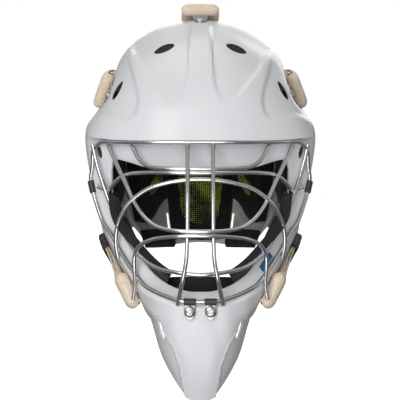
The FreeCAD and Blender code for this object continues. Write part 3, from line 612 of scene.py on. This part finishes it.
def inner_rows(stations):
    """Inner rows from the rear edge back to the opening edge; the brow is solid behind its lip."""
    rows = [skin(stations, r) - skin_normal(stations, r) * WALL for r in np.linspace(LAST_ROW, 3.0, 30)]
    flat = [skin(stations, r) - skin_normal(stations, r) * WALL for r in (0.9, 0.6, 0.3, 0.04)]
    start, end = rows[-1], flat[0]
    slope = (rows[-1] - rows[-2]) * 3
    for t in np.linspace(0.2, 0.8, 4):
        rows.append(smooth_between(end - slope * 2, start, end, end + (flat[0] - flat[1]) * -2, t))
    return rows + flat


def rounded_edge(outer, inner, beyond, bulge):
    """Rows that close the wall's edge with a half-round."""
    outward = unit(outer - beyond)
    middle = (outer + inner) / 2
    half = (outer - inner) / 2
    turns = np.linspace(0, np.pi, 7)[1:-1]
    return [middle + half * np.cos(t) + outward * bulge * np.sin(t) for t in turns]


SHELL_SLOTS = [
    # station, ring, long direction, length, width, material slot of the walls
    (1.42, 4.72, (0.9, 0.1, -0.5), 20.5, 12.5, 1),
    (3.28, 3.75, (-0.2, 0.2, 1.0), 21.0, 8.6, 1),
    (4.5, 0.7, (0.2, 0.1, 1.0), 12.5, 4.6, 1),
    (10.45, 4.1, (0.35, -0.2, 1.0), 22.0, 10.0, 0),
]


def make_shell():
    """The lacquered shell with its dark inner face, vents and lace slots."""
    stations = np.linspace(0, LOOP, LOOP * 12, endpoint=False)
    outer = shell_rows(stations)
    inner = inner_rows(stations)
    rear = rounded_edge(outer[-1], inner[0], outer[-3], 1.3)
    front = rounded_edge(inner[-1], outer[0], inner[-2], 1.3)
    rows = outer + rear + inner + front
    count = len(stations)
    faces = grid_faces(len(rows), count, True) + closing_faces(len(rows), count)
    slots = [0] * (len(outer) + len(rear)) + [1] * len(inner) + [0] * len(front)
    slots = np.repeat(slots, count)
    obj = made("mask_shell", np.concatenate(rows), faces, [WHITE, SHELL_INSIDE], None, slots)
    cutters = []
    for station, ring, direction, length, width, wall in SHELL_SLOTS:
        for side in (1, -1):
            place = station if side > 0 else LOOP - station
            long_way = np.array(direction) * (side, 1, 1)
            outward = skin_normal(place, ring)[0]
            centre = skin(place, ring)[0] + outward * relief(np.array([place]), ring)[0]
            cutters.append(lens_cutter(centre, outward, long_way, length, width, wall))
    cut(obj, cutters, 38)
    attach(obj, SHELL)
    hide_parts("shell")


make_shell()


# ------------------------------------------------------------------ pieces placed on a frame
def smooth_noise(points, grain, seed=0.0):
    """Noise in -1..1 at points in millimetres, with lumps about grain millimetres wide."""
    return np.array([noise.noise(Vector(p) / grain + Vector((seed, seed, seed))) for p in points])


def settle(obj, body, node=None):
    """Says which body a piece rides on, and hides the CAD piece it stands for."""
    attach(obj, body)
    if node:
        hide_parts(node)


# ------------------------------------------------------------------ foam pads
UNDER_WALL = WALL + 0.9
PAD_THICK = 13.0


def foam_pad(at, u_span, v_span, near, far, cells=(34, 26), dome=0.16, taper=0.22):
    """A cut foam pad: its back lies on a surface, its face is slightly domed and its edges are rounded.

    at(u, v, depth) is a point under the surface. Returns the mesh's points and faces.
    """
    share = np.linspace(0, 1, cells[0])
    across = np.linspace(0, 1, cells[1])
    face, back = [], []
    for a in -np.cos(share * np.pi):
        for b in -np.cos(across * np.pi):
            x = a * math.sqrt(1 - taper * b * b)
            y = b * math.sqrt(1 - taper * a * a)
            u = u_span[0] + (u_span[1] - u_span[0]) * (x + 1) / 2
            v = v_span[0] + (v_span[1] - v_span[0]) * (y + 1) / 2
            edge = ((1 - abs(a) ** 7) * (1 - abs(b) ** 7)) ** 0.4
            crown = 1 - dome * (a * a + b * b) / 2
            face.append(at(u, v, near + (far - near) * (0.22 + 0.78 * edge * crown)))
            back.append(at(u, v, near))
    rows, columns = cells
    count = rows * columns
    faces = grid_faces(rows, columns) + flipped(grid_faces(rows, columns, start=count))
    border = grid_border(rows, columns)
    for a, b in zip(border, border[1:] + border[:1]):
        faces.append((b, a, a + count, b + count))
    points = np.array(face + back)
    points += 0.22 * smooth_noise(points, 16)[:, None]
    return points, faces


def foam_piece(name, mesh, body, node):
    settle(made(name, *mesh, [FOAM], 60), body, node)


def shell_pad(name, stations, rings, thickness):
    far = UNDER_WALL + thickness * PAD_THICK
    foam_piece(name + "_foam", foam_pad(shell_at, stations, rings, UNDER_WALL, far), SHELL, name)


shell_pad("crown_pad", (-1.5, 1.5), (5.25, 6.5), 1.0)
shell_pad("forehead_pad", (-2.5, 2.5), (3.15, 5.05), 1.0)
shell_pad("sweatband", (-2.6, 2.6), (0.12, 0.8), 0.6)
for name, stations, rings, thickness in (
        ("temple_pad", (2.75, 4.15), (3.8, 6.3), 0.8),
        ("cheek_pad", (4.85, 6.75), (2.75, 6.0), 1.7),
        ("jaw_pad", (6.95, 8.1), (2.75, 5.9), 1.3)):
    shell_pad(name + "_left", stations, rings, thickness)
    shell_pad(name + "_right", [LOOP - station for station in stations[::-1]], rings, thickness)


def make_face_edge_foam():
    """A foam strip behind the land on each side, a dark border round the lower face opening."""
    first, last, far = 5.7, 9.3, UNDER_WALL + 9.0
    for label, stations in (("left", (first, last)), ("right", (LOOP - last, LOOP - first))):
        mesh = foam_pad(shell_at, stations, (-0.62, 0.45), UNDER_WALL, far, (60, 16), taper=0.08)
        foam_piece(f"face_edge_foam_{label}", mesh, SHELL, None)


make_face_edge_foam()


def chin_cup_at(angle, height, depth):
    """A point of the chin cup, which wraps the chin behind the lower edge of the face opening."""
    turn = math.radians(angle)
    return np.array([(46 - depth) * math.sin(turn), -68 - (39 - depth) * math.cos(turn), height])


foam_piece("chin_cup_foam", foam_pad(chin_cup_at, (-66, 66), (-96, -67), 0.0, PAD_THICK), SHELL, "chin_pad")


# ------------------------------------------------------------------ backplate
BACK_CENTRE = np.array([0.0, 18.0, 52.0])
BACK_HALF_WIDTH, BACK_DEPTH, BACK_RISE, BACK_DROP = 80.0, 112.0, 106.0, 150.0
BACK_WALL = 3.0
BACK_HALF_TURN = 78.0
UNDER_BACK = BACK_WALL + 0.9
BACK_PAD_THICK = 12.0


def back_sizes(level):
    return np.array([BACK_HALF_WIDTH, BACK_DEPTH, BACK_RISE if level > 0 else BACK_DROP])


def back_skin(azimuth, level):
    """The backplate's outer surface, by degrees round from the rear and degrees up."""
    turn, lift = math.radians(azimuth), math.radians(level)
    way = np.array([math.sin(turn) * math.cos(lift), math.cos(turn) * math.cos(lift), math.sin(lift)])
    return BACK_CENTRE + way * back_sizes(level)


def back_normal(azimuth, level):
    return unit((back_skin(azimuth, level) - BACK_CENTRE) / back_sizes(level) ** 2)


def back_at(azimuth, level, depth):
    """A point a given depth under the backplate's outer surface."""
    return back_skin(azimuth, level) - back_normal(azimuth, level) * depth


def back_level(azimuth, share):
    """Level at a share of the way from the arched lower edge to the rounded upper edge."""
    side = (azimuth / BACK_HALF_TURN) ** 2
    low = -36.0 - 3.0 * math.sin(min(1.0, side * 1.6) * math.pi) + 14.0 * side ** 3
    high = 69.0 - 27.0 * side
    return low + (high - low) * share


def back_plate_at(azimuth, share, depth):
    return back_at(azimuth, back_level(azimuth, share), depth)


def plate_relief(a, b):
    """How far the backplate stands out at a, b in -1..1: a rolled border and a raised spine."""
    border = past(max(abs(a), abs(b)), 0.9, 0.06)
    spine = smooth_step((0.3 - abs(a)) / 0.05) * smooth_step((0.86 - abs(b)) / 0.06)
    wing = past(abs(a), 0.42, 0.04) * smooth_step((0.84 - abs(a)) / 0.04)
    wing *= smooth_step((0.62 - abs(b + 0.12)) / 0.06)
    return 0.9 * border + 0.8 * spine - 0.9 * wing


BACK_SLOTS = [
    # azimuth, level, direction, length, width
    (27.0, -27.0, (-0.1, 0, 1), 17.0, 4.0),
    (40.0, 22.0, (0, 0, 1), 24.0, 8.0),
    (62.0, 12.0, (0, 0, 1), 24.0, 8.0),
]
CUTTER_REACH = 14.0
CUTTER_RINGS = [
    # height, how much wider than the slot
    (-CUTTER_REACH, 0.9), (-BACK_WALL - 0.4, 0.9), (-BACK_WALL + 0.4, 0), (-0.9, 0), (-0.1, 0.5),
    (CUTTER_REACH, 2.2),
]


def round_cutter(centre, outward, upward, length, width):
    """A closed prism with a stadium outline, its length along upward and its mouth flared."""
    outline = []
    for turn in np.linspace(0, 2 * np.pi, 36, endpoint=False):
        end = math.copysign((length - width) / 2, math.sin(turn))
        outline.append((math.cos(turn) * width / 2, math.sin(turn) * width / 2 + end))
    rings = []
    for height, grow in CUTTER_RINGS:
        for x, y in outline:
            wider = 1 + grow / math.hypot(x, y)
            rings.append((x * wider, y * wider, height))
    faces = tube_faces(len(CUTTER_RINGS), len(outline))
    return made("cutter", placed(rings, centre, axes_at(outward, upward)), faces, [])


def make_backplate():
    """The backplate panel with its rolled border, raised spine and slots."""
    columns, rows = 121, 97
    outer, inner = [], []
    for a in np.linspace(-1, 1, columns):
        for b in np.linspace(-1, 1, rows):
            x = a * math.sqrt(1 - 0.1 * b * b)
            y = b * math.sqrt(1 - 0.1 * a * a)
            rise = plate_relief(a, b)
            azimuth, share = BACK_HALF_TURN * x, (y + 1) / 2
            outer.append(back_plate_at(azimuth, share, -rise))
            inner.append(back_plate_at(azimuth, share, BACK_WALL - 0.6 * rise))
    count = columns * rows
    border = grid_border(columns, rows)
    outer, inner = np.array(outer), np.array(inner)
    edge = (outer[border] + inner[border]) / 2 + unit(outer[border] - outer.mean(axis=0)) * 0.9
    verts = np.concatenate([outer, inner, edge])
    plate = grid_faces(columns, rows)
    faces = flipped(plate) + grid_faces(columns, rows, start=count)
    slots = [0] * len(plate) + [1] * len(plate)
    for i, (a, b) in enumerate(zip(border, border[1:] + border[:1])):
        here, following = 2 * count + i, 2 * count + (i + 1) % len(border)
        faces += [(a, b, following, here), (here, following, b + count, a + count)]
        slots += [0, 0]
    obj = made("backplate_panel", verts, faces, [BACK_WHITE, INSIDE], None, slots)
    cutters = []
    for azimuth, level, direction, length, width in BACK_SLOTS:
        for side in (1, -1):
            place = back_skin(side * azimuth, level)
            way = np.array(direction) * (side, 1, 1)
            cutters.append(round_cutter(place, back_normal(side * azimuth, level), way, length, width))
    cut(obj, cutters, 40)
    settle(obj, BACK, "backplate_shell")


def back_pad_at(azimuths, levels, fall):
    """The surface of a backplate pad whose lower edge falls and whose upper edge drops away outwards."""
    inner = min(abs(azimuth) for azimuth in azimuths)
    span = max(abs(azimuth) for azimuth in azimuths) - inner

    def at(azimuth, share, depth):
        outward = (abs(azimuth) - inner) / span if fall else 0.0
        low = levels[0] - fall * float(smooth_step(outward * 1.6))
        high = levels[1] - 2 * fall * outward ** 2
        return back_at(azimuth, low + (high - low) * share, depth)

    return at


def back_pad(name, azimuths, levels, fall, thickness):
    far = UNDER_BACK + thickness * BACK_PAD_THICK
    at = back_pad_at(azimuths, levels, fall)
    mesh = foam_pad(at, azimuths, (0, 1), UNDER_BACK, far, dome=0.3, taper=0.05)
    foam_piece(f"backplate_{name}_foam", mesh, BACK, "backplate_" + name)


def mirrored(span):
    """A span of azimuths on the other side."""
    return -span[1], -span[0]


UPPER_PAD = (27.5, 70), (-19, 44), 9.0
make_backplate()
back_pad("spine_pad", (-27, 27), (-36.0, 46), 0.0, 1.0)
for name, (azimuths, levels, fall), thickness in (
        ("upper_pad", UPPER_PAD, 1.0),
        ("lower_pad", ((26, 66), (-39.5, -31.5), 0.0), 0.7)):
    back_pad(name + "_left", azimuths, levels, fall, thickness)
    back_pad(name + "_right", mirrored(azimuths), levels, fall, thickness)


def printed_patch(name, at, u_span, v_span, depths, cells, dome):
    """A thin puffed patch of the printed mesh, whose print is laid out by the mask's x and z."""
    points, faces = foam_pad(at, u_span, v_span, *depths, cells, dome)
    obj = made(name, points, faces, [PRINT], 60)
    set_uvs(obj, "print", [(vertex.co.x, vertex.co.z) for vertex in obj.data.vertices])
    return obj


def make_liner():
    """The printed mesh sewn over the spine pad, and its two patches on the upper pads."""
    face = UNDER_BACK + BACK_PAD_THICK
    depths = (face - 0.1, face + 2.5)
    obj = printed_patch("spine_liner_mesh", back_at, (-23, 23), (-31, 43), depths, (48, 60), 0.5)
    settle(obj, BACK, "backplate_spine_liner")
    depths = (face - 2.2, face + 0.5)
    at = back_pad_at(*UPPER_PAD)
    for label, azimuths in (("left", (37, 54)), ("right", mirrored((37, 54)))):
        name = f"upper_pad_print_{label}"
        patch = printed_patch(name, at, azimuths, (0.15, 0.24), depths, (18, 16), 0.1)
        settle(patch, BACK, None)


make_liner()


# ------------------------------------------------------------------ straps
STRAP_WIDTH, STRAP_THICK, LOOP_THICK = 36.0, 3.0, 11.0
WEB = 2.8
FOLD_TURNS = (40, 90, 140)
SHELL_LIFT, BACK_LIFT = 2.2, 3.4


def over_shell(station, ring, thickness=STRAP_THICK, lift=SHELL_LIFT):
    """A strap's centre, outward direction and thickness where it rests on the shell."""
    return shell_at(station, ring, -lift - thickness / 2), skin_normal(station, ring)[0], thickness


def over_back(azimuth, level):
    """The same where it rests on the backplate."""
    return back_at(azimuth, level, -BACK_LIFT - STRAP_THICK / 2), back_normal(azimuth, level), STRAP_THICK


def levelled(rest, share):
    """The same with its outward direction turned towards the horizontal."""
    centre, outward, thickness = rest
    return centre, unit(outward * (1, 1, 1 - share)), thickness


def layer_thickness(thickness, fill):
    """How thick one layer of a folded strap is: its own, or a share of the fold's where that is more."""
    return np.maximum(WEB, fill * np.asarray(thickness))


def web_line(route, tail, fill):
    """The webbing's middle line and width directions: in from the rivet, round the clip's bar and back.

    Its short end lies outside the strap where tail is 1, and under it where tail is -1.
    """
    middles = [centre for centre, _, _ in route]
    sideways = []
    for i, (centre, outward, _) in enumerate(route):
        along = middles[min(i + 1, len(route) - 1)] - middles[max(i - 1, 0)]
        sideways.append(unit(np.cross(outward, along)))
    upper = [c - tail * n * (t - layer_thickness(t, fill)) / 2 for c, n, t in route]
    lower = [c + tail * n * (t - layer_thickness(t, fill)) / 2 for c, n, t in route if t > STRAP_THICK]
    centre, outward, thickness = route[0]
    ahead = unit(centre - middles[1])
    radius = (thickness - layer_thickness(thickness, fill)) / 2
    fold = []
    for turn in np.radians(FOLD_TURNS):
        rise = tail * outward * radius * math.cos(turn)
        fold.append(centre - rise + ahead * radius * 1.15 * math.sin(turn))
    points = upper[::-1] + fold + lower
    ways = sideways[::-1] + [sideways[0]] * len(FOLD_TURNS) + sideways[:len(lower)]
    return np.array(points), np.array(ways)


def resampled(values, spots):
    """Values along a smooth curve through rows of values, at fractional row numbers."""
    padded = np.concatenate([2 * values[:1] - values[1:2], values, 2 * values[-1:] - values[-2:-1]])
    first = np.minimum(spots.astype(int), len(values) - 2)
    t = (spots - first)[:, None]
    return smooth_between(padded[first], padded[first + 1], padded[first + 2], padded[first + 3], t)


def web_mesh(route, seed, tail, fill):
    """A ribbon of webbing with rounded selvedges, uneven edges and soft lumps: points, faces and UVs."""
    points, ways = web_line(route, tail, fill)
    gaps = np.linalg.norm(np.diff(points, axis=0), axis=1)
    distance = np.concatenate([[0], np.cumsum(gaps)])
    steps = np.arange(0, distance[-1], 1.6)
    spots = np.interp(steps, distance, np.arange(len(points)))
    line, side = resampled(points, spots), unit(resampled(ways, spots))
    along = unit(np.gradient(line, axis=0))
    outward = unit(np.cross(along, side))
    turns = np.linspace(0, 2 * np.pi, 44, endpoint=False)
    flat = signed_power(np.cos(turns), 0.45)
    thick = signed_power(np.sin(turns), 0.75)
    depth = [t for _, _, t in route[::-1]] + [route[0][2]] * len(FOLD_TURNS)
    depth += [t for _, _, t in route if t > STRAP_THICK]
    depth = np.interp(spots, np.arange(len(points)), depth)
    pillow = tail * 0.42 * np.maximum(0, depth - 5.0)
    swell = layer_thickness(depth, fill)
    verts, uvs = [], []
    for i, here in enumerate(line):
        narrow = 1 + 0.018 * noise.noise(Vector((steps[i] / 9, seed, 0)))
        sway = 0.5 * noise.noise(Vector((steps[i] / 22, seed, 5)))
        across = flat * STRAP_WIDTH / 2 * narrow + sway
        ring = here + side[i] * across[:, None] + outward[i] * (thick * swell[i] / 2)[:, None]
        ring = ring - outward[i] * (pillow[i] * np.clip(np.abs(flat) * 3 - 2, 0, 1) ** 2)[:, None]
        lumps = smooth_noise(ring, 6.5, seed) * 0.34 + smooth_noise(ring, 2.1, seed) * 0.16
        ring = ring + outward[i] * (lumps * np.sign(thick) * np.minimum(1, np.abs(thick) * 2))[:, None]
        verts.append(ring)
        uvs += [(steps[i] * MM, (value + 40) * MM) for value in across]
    return np.concatenate(verts), tube_faces(len(line), len(turns)), uvs


def make_strap(name, route, side, seed, blend_from, blend_to, tail=-1, fill=0.0):
    """A strap of webbing laid along its route from the shell to the backplate."""
    verts, faces, uvs = web_mesh(route, seed, tail, fill)
    flip = np.array([side, 1, 1])
    obj = made(name + "_web", verts * flip, [f[::side] for f in faces], [WEBBING], 70)
    set_uvs(obj, "weave", uvs)
    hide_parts(name)
    start, end = (tuple(route[i][0] * flip * MM) for i in (blend_from, blend_to))
    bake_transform(obj)
    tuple(start)
    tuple(end)


STRAPS = {
    "crown_strap": [
        over_shell(0, 5.88, LOOP_THICK, 4.4), over_shell(0, 6.05, LOOP_THICK, 4.4),
        over_shell(0, 6.3, 8.5, 3.4), over_shell(0, 6.55), over_shell(0, 6.95),
        (np.array([0, 86, 147.0]), np.array([0, 0.6, 0.8]), STRAP_THICK),
        over_back(0, 43), over_back(0, 35), over_back(0, 27),
    ],
    "temple_strap": [
        levelled(over_shell(4.5, 5.0, 12.0), 0.3), levelled(over_shell(4.52, 5.35, 12.0), 0.3),
        levelled(over_shell(4.58, 5.8, 7.0), 0.15),
        over_shell(4.67, 6.2), over_shell(4.84, 6.9), over_back(64, 27), over_back(50, 24.0),
        over_back(40, 21.8), over_back(32, 20.0),
    ],
    "jaw_strap": [
        over_shell(7.93, 2.5, 12.5, 0.8), over_shell(7.9, 2.9, 12.5, 0.9), over_shell(7.8, 3.6, 8.6, 1.2),
        over_shell(7.64, 4.4, 6.4, 1.8), over_shell(7.5, 5.2, 4.8, 4.6), over_shell(7.44, 5.6, 4.8, 4.4),
        over_shell(7.36, 6.0, STRAP_THICK, 4.5), over_shell(7.25, 6.9, STRAP_THICK, 3.5),
        over_back(66, -22), over_back(54, -21), over_back(42, -20),
    ],
}
JAW_FILL = 0.46
make_strap("crown_strap", STRAPS["crown_strap"], side=1, seed=1.0, blend_from=4, blend_to=6)
for more, (side, label) in enumerate(((1, "left"), (-1, "right"))):
    temple, jaw = STRAPS["temple_strap"], STRAPS["jaw_strap"]
    make_strap(f"temple_strap_{label}", temple, side, seed=3.0 + more, blend_from=4, blend_to=5)
    make_strap(f"jaw_strap_{label}", jaw, side, 7.0 + more, blend_from=7, blend_to=8, tail=1, fill=JAW_FILL)


# ------------------------------------------------------------------ clips, screws and sliders
def site_at(centre, outward, upward):
    """A place on the mask with its frame: z outward and y as near upward as it can be."""
    return np.asarray(centre, float), axes_at(outward, upward)


def square_to_lip(station, ring):
    """A site on the shell with +Y towards the lip."""
    outward = skin_normal(station, ring)[0]
    along = (skin(station - 0.4, LIP) - skin(station + 0.4, LIP))[0]
    return site_at(shell_at(station, ring, -0.3), outward, np.cross(outward, along))


def on_strap_end(station, ring):
    """A site on the shell with +Y towards the strap."""
    ahead = (skin(station, ring + 0.1) - skin(station, ring))[0]
    return site_at(shell_at(station, ring, -0.3), skin_normal(station, ring)[0], ahead)


def strip(line, across, outward, half_widths, thick):
    """A bent strip of sheet with rounded edges: middle points, directions and half widths row by row."""
    turns = np.linspace(0, 2 * np.pi, 28, endpoint=False)
    flat = signed_power(np.cos(turns), 0.35)
    rise = signed_power(np.sin(turns), 0.5) * thick / 2
    verts = []
    for centre, side, up, half in zip(line, across, outward, half_widths):
        verts.append(centre + side * (flat * half)[:, None] + up * rise[:, None])
    return np.concatenate(verts), flipped(tube_faces(len(line), len(turns)))


def profile_strip(profile, half_widths, thick):
    """A strip whose middle line lies in the local y-z plane."""
    line = np.array([(0, y, z) for y, z in profile], float)
    along = unit(np.gradient(line, axis=0))
    across = np.tile((1.0, 0.0, 0.0), (len(line), 1))
    return strip(line, across, np.cross(across, along), half_widths, thick)


def rounded_end(y, start, reach, half_width):
    """Half width of a strip at y when its end at start is rounded over a reach."""
    share = min(1.0, max(0.02, (y - start) / reach))
    return half_width * math.sqrt(1 - (1 - share) ** 2)


CLIP_PLATE, CLIP_STEEL = 1.3, 1.2
ROLL_AT, ROLL_HEIGHT, ROLL_RADIUS = 9.2, 1.2, 2.65
BAR_AT, BAR_HALF_LENGTH, BAR_RADIUS = 14.5, 15.4, 1.6
SLEEVE_START = 5.9


def wire_clip():
    """A strip with a round tongue under the screw, whose far end curls over the wire."""
    flat = [(y, CLIP_PLATE / 2) for y in np.linspace(-7.4, 5.6, 22)]
    curl = []
    for turn in np.radians(np.linspace(192, -95, 26)):
        curl.append((ROLL_AT + ROLL_RADIUS * math.cos(turn), ROLL_HEIGHT + ROLL_RADIUS * math.sin(turn)))
    widths = [rounded_end(y, -7.5, 5.0, 5.0) for y, _ in flat]
    widths += [5.0 + 0.9 * float(past(i, 2, 5)) for i in range(len(curl))]
    return profile_strip(flat + curl, widths, CLIP_STEEL)


def wire_clip_slots(verts, faces):
    """The curl has a dark rubber sleeve, the tongue is bare steel."""
    middles = [np.mean([verts[i][1] for i in face]) for face in faces]
    return [int(middle > SLEEVE_START) for middle in middles]


def strap_bar_clip(bar_height, shift):
    """A strip with a round tongue that rises to a bar, which stays inside the folded strap."""
    flat = [(y, CLIP_PLATE / 2 + (bar_height - 0.6) * float(past(y, 4.0, 9.0)))
            for y in np.linspace(-6.9, 13.6, 34)]
    widths = [rounded_end(y, -7.0, 6.0, 6.2 + float(past(y, 2, 5))) for y, _ in flat]
    verts, faces = profile_strip(flat, widths, CLIP_STEEL)
    middle = np.linspace(-BAR_HALF_LENGTH, BAR_HALF_LENGTH, 9)
    spread = np.concatenate([middle[:1] - 0.5, middle, middle[-1:] + 0.5]) + shift
    radii = [BAR_RADIUS - 0.7] + [BAR_RADIUS] * len(middle) + [BAR_RADIUS - 0.7]
    turns = np.linspace(0, 2 * np.pi, 20, endpoint=False)
    bar = []
    for x, radius in zip(spread, radii):
        bar += [(x, BAR_AT + radius * math.cos(t), bar_height + radius * math.sin(t)) for t in turns]
    faces += tube_faces(len(spread), len(turns), len(verts))
    return np.concatenate([verts, bar]), faces


HEAD_HEIGHT, HEAD_CURVE, SHANK_RADIUS, SHANK_LENGTH = 2.55, 5.62, 2.5, 11.0
CROSS_HALF_WIDTH, CROSS_HALF_LENGTH, CROSS_DEPTH = 0.95, 2.75, 1.5


def cross_recess(x, y):
    """How far the cross is sunk at a point of the screw's head, from 0 to 1."""
    arms = [smooth_step((CROSS_HALF_WIDTH - abs(a)) / 0.4) * smooth_step((CROSS_HALF_LENGTH - abs(b)) / 0.5)
            for a, b in ((x, y), (y, x))]
    return float(max(arms))


def truss_screw(turn):
    """A low domed screw with a cross recess, a rolled rim and its shank."""
    angles = np.linspace(0, 2 * np.pi, 72, endpoint=False)
    verts = []
    for radius in np.concatenate([np.linspace(0.05, 4.9, 26), [5.15, 5.35, 5.48]]):
        height = HEAD_HEIGHT * math.sqrt(1 - (radius / HEAD_CURVE) ** 2)
        for angle in angles:
            x, y = radius * math.cos(angle), radius * math.sin(angle)
            verts.append((x, y, height - CROSS_DEPTH * cross_recess(x, y)))
    shank = ((5.3, 0.0), (SHANK_RADIUS, 0.0), (SHANK_RADIUS, 0.5 - SHANK_LENGTH), (0.3, -SHANK_LENGTH))
    for radius, height in shank:
        verts += [(radius * math.cos(a), radius * math.sin(a), height) for a in angles]
    faces = flipped(tube_faces(len(verts) // len(angles), len(angles)))
    c, s = math.cos(turn), math.sin(turn)
    spun = [(c * x - s * y, s * x + c * y, z) for x, y, z in verts]
    return np.array(spun), faces


def joined(parts):
    """One mesh from several."""
    verts, faces, start = [], [], 0
    for points, polygons in parts:
        verts.append(points)
        faces += [tuple(i + start for i in polygon) for polygon in polygons]
        start += len(points)
    return np.concatenate(verts), faces


def both(site):
    """A left site and its mirror image."""
    centre, axes = site
    return [(centre, axes), (centre * (-1, 1, 1), axes * np.array([[-1], [1], [1]]) * (-1, 1, 1))]


CHIN_CLIP = site_at((9.8, -131.6, -99.5), (0, -1, -0.08), (0, 0, 1))
TEMPLE_CLIP = square_to_lip(6.0, 2.3)
CROWN_CLIP = on_strap_end(0.0, 5.72)
TEMPLE_STRAP_CLIP = on_strap_end(4.42, 4.62)
JAW_STRAP_CLIP = on_strap_end(8.12, 3.2)


def make_clips():
    """The wire clips of the cage and the bar clips inside the strap loops."""
    verts, faces = wire_clip()
    kinds = wire_clip_slots(verts, faces)
    for name, site in (("chin_clip", CHIN_CLIP), ("temple_clip", TEMPLE_CLIP)):
        for label, place in zip(("left", "right"), both(site)):
            obj = made(f"{name}_{label}_strip", placed(verts, *place), faces, [PLATED, SLEEVE], 50, kinds)
            settle(obj, SHELL, f"{name}_{label}")
    places = [("crown_strap_clip", CROWN_CLIP, 9.6, 0.0)]
    for part, site, shift in (("temple", TEMPLE_STRAP_CLIP, 0.0), ("jaw", JAW_STRAP_CLIP, -12.0)):
        places += [(f"{part}_strap_clip_{label}", place, 7.0, shift * side)
                   for label, side, place in zip(("left", "right"), (1, -1), both(site))]
    for name, (centre, axes), bar_height, shift in places:
        verts, faces = strap_bar_clip(bar_height, shift)
        obj = made(name + "_strip", placed(verts, centre, axes), faces, [PLATED], 50)
        settle(obj, SHELL, name)


def make_screws(name, sites, shrink=1.0):
    """All screws of one kind as one piece, each turned its own way."""
    parts = []
    for i, (centre, axes) in enumerate(sites):
        verts, faces = truss_screw(0.5 + 1.3 * i)
        parts.append((placed(verts * (1, 1, shrink) + (0, 0, CLIP_PLATE - 0.05), centre, axes), faces))
    verts, faces = joined(parts)
    settle(made(name + "_domed", verts, faces, [PLATED], 60), SHELL, name)


def make_sliders():
    """Flat plastic loops round the jaw straps, with ribs across their outer face."""
    before, (centre, outward, _), after = STRAPS["jaw_strap"][3:6]
    half_wide, half_high, corner = 19.7, 3.3, 2.2
    ring = []
    for x, z, start in ((1, 1, 0), (-1, 1, 90), (-1, -1, 180), (1, -1, 270)):
        for turn in np.radians(np.linspace(start, start + 90, 7)):
            ring.append((x * (half_wide - corner) + corner * math.cos(turn),
                         z * (half_high - corner) + corner * math.sin(turn)))
    dense = []
    for (x, z), (x2, z2) in zip(ring, ring[1:] + ring[:1]):
        count = max(1, int(math.hypot(x2 - x, z2 - z) / 1.2))
        dense += [(x + (x2 - x) * i / count, z + (z2 - z) * i / count) for i in range(count)]
    turns = np.linspace(0, 2 * np.pi, 56, endpoint=False)
    verts = []
    for i, (x, z) in enumerate(dense):
        x2, z2 = dense[(i + 1) % len(dense)]
        out = unit(np.array([z2 - z, x - x2]))
        for turn in turns:
            y = 12.5 * signed_power(math.cos(turn), 0.4)
            depth = 0.85 * signed_power(math.sin(turn), 0.5)
            rib = 0.4 * max(0.0, math.cos(y * 2.0)) if depth > 0 and z > 0 and abs(y) < 9 else 0.0
            verts.append((x + out[0] * (depth + rib), y, z + out[1] * (depth + rib)))
    faces = grid_faces(len(dense), len(turns), True) + closing_faces(len(dense), len(turns))
    site = site_at(centre, outward, after[0] - before[0])
    for label, (place, axes) in zip(("left", "right"), both(site)):
        obj = made(f"jaw_slider_{label}", placed(verts, place, axes), faces, [BLACK], 50)
        settle(obj, SHELL, f"jaw_strap_slider_{label}")


make_clips()
make_screws("cage_clip_screws", both(CHIN_CLIP) + both(TEMPLE_CLIP))
make_screws("strap_clip_screws", [CROWN_CLIP] + both(TEMPLE_STRAP_CLIP) + both(JAW_STRAP_CLIP), 0.75)
make_sliders()


# ------------------------------------------------------------------ carried-over CAD pieces
def finish_of(name):
    """The material of a CAD piece that is kept as it is."""
    if name.startswith("cage_") and "clip" not in name:
        return CHROME
    if name == "side_sticker":
        return BLUE
    return PLATED


for name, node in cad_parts.items():
    node.data.materials.clear()
    node.data.materials.append(finish_of(name))


# ------------------------------------------------------------------ stage
def make_stage():
    """A wide pale floor under the mask."""
    floor_level, radius, corners = -0.26, 60.0, 64
    turns = np.linspace(0, 2 * np.pi, corners, endpoint=False)
    verts = [(radius * math.cos(t) / MM, radius * math.sin(t) / MM, floor_level / MM) for t in turns]
    shader = Shader("pale_floor", (0.9, 0.9, 0.9), 0.8)
    shader.set("Emission Color", (1, 1, 1, 1))
    shader.set("Emission Strength", 1.0)
    obj = made("floor", verts, [tuple(range(corners))], [shader.material])
    obj.visible_glossy = False
    obj.visible_diffuse = False
    obj.visible_shadow = False


make_stage()
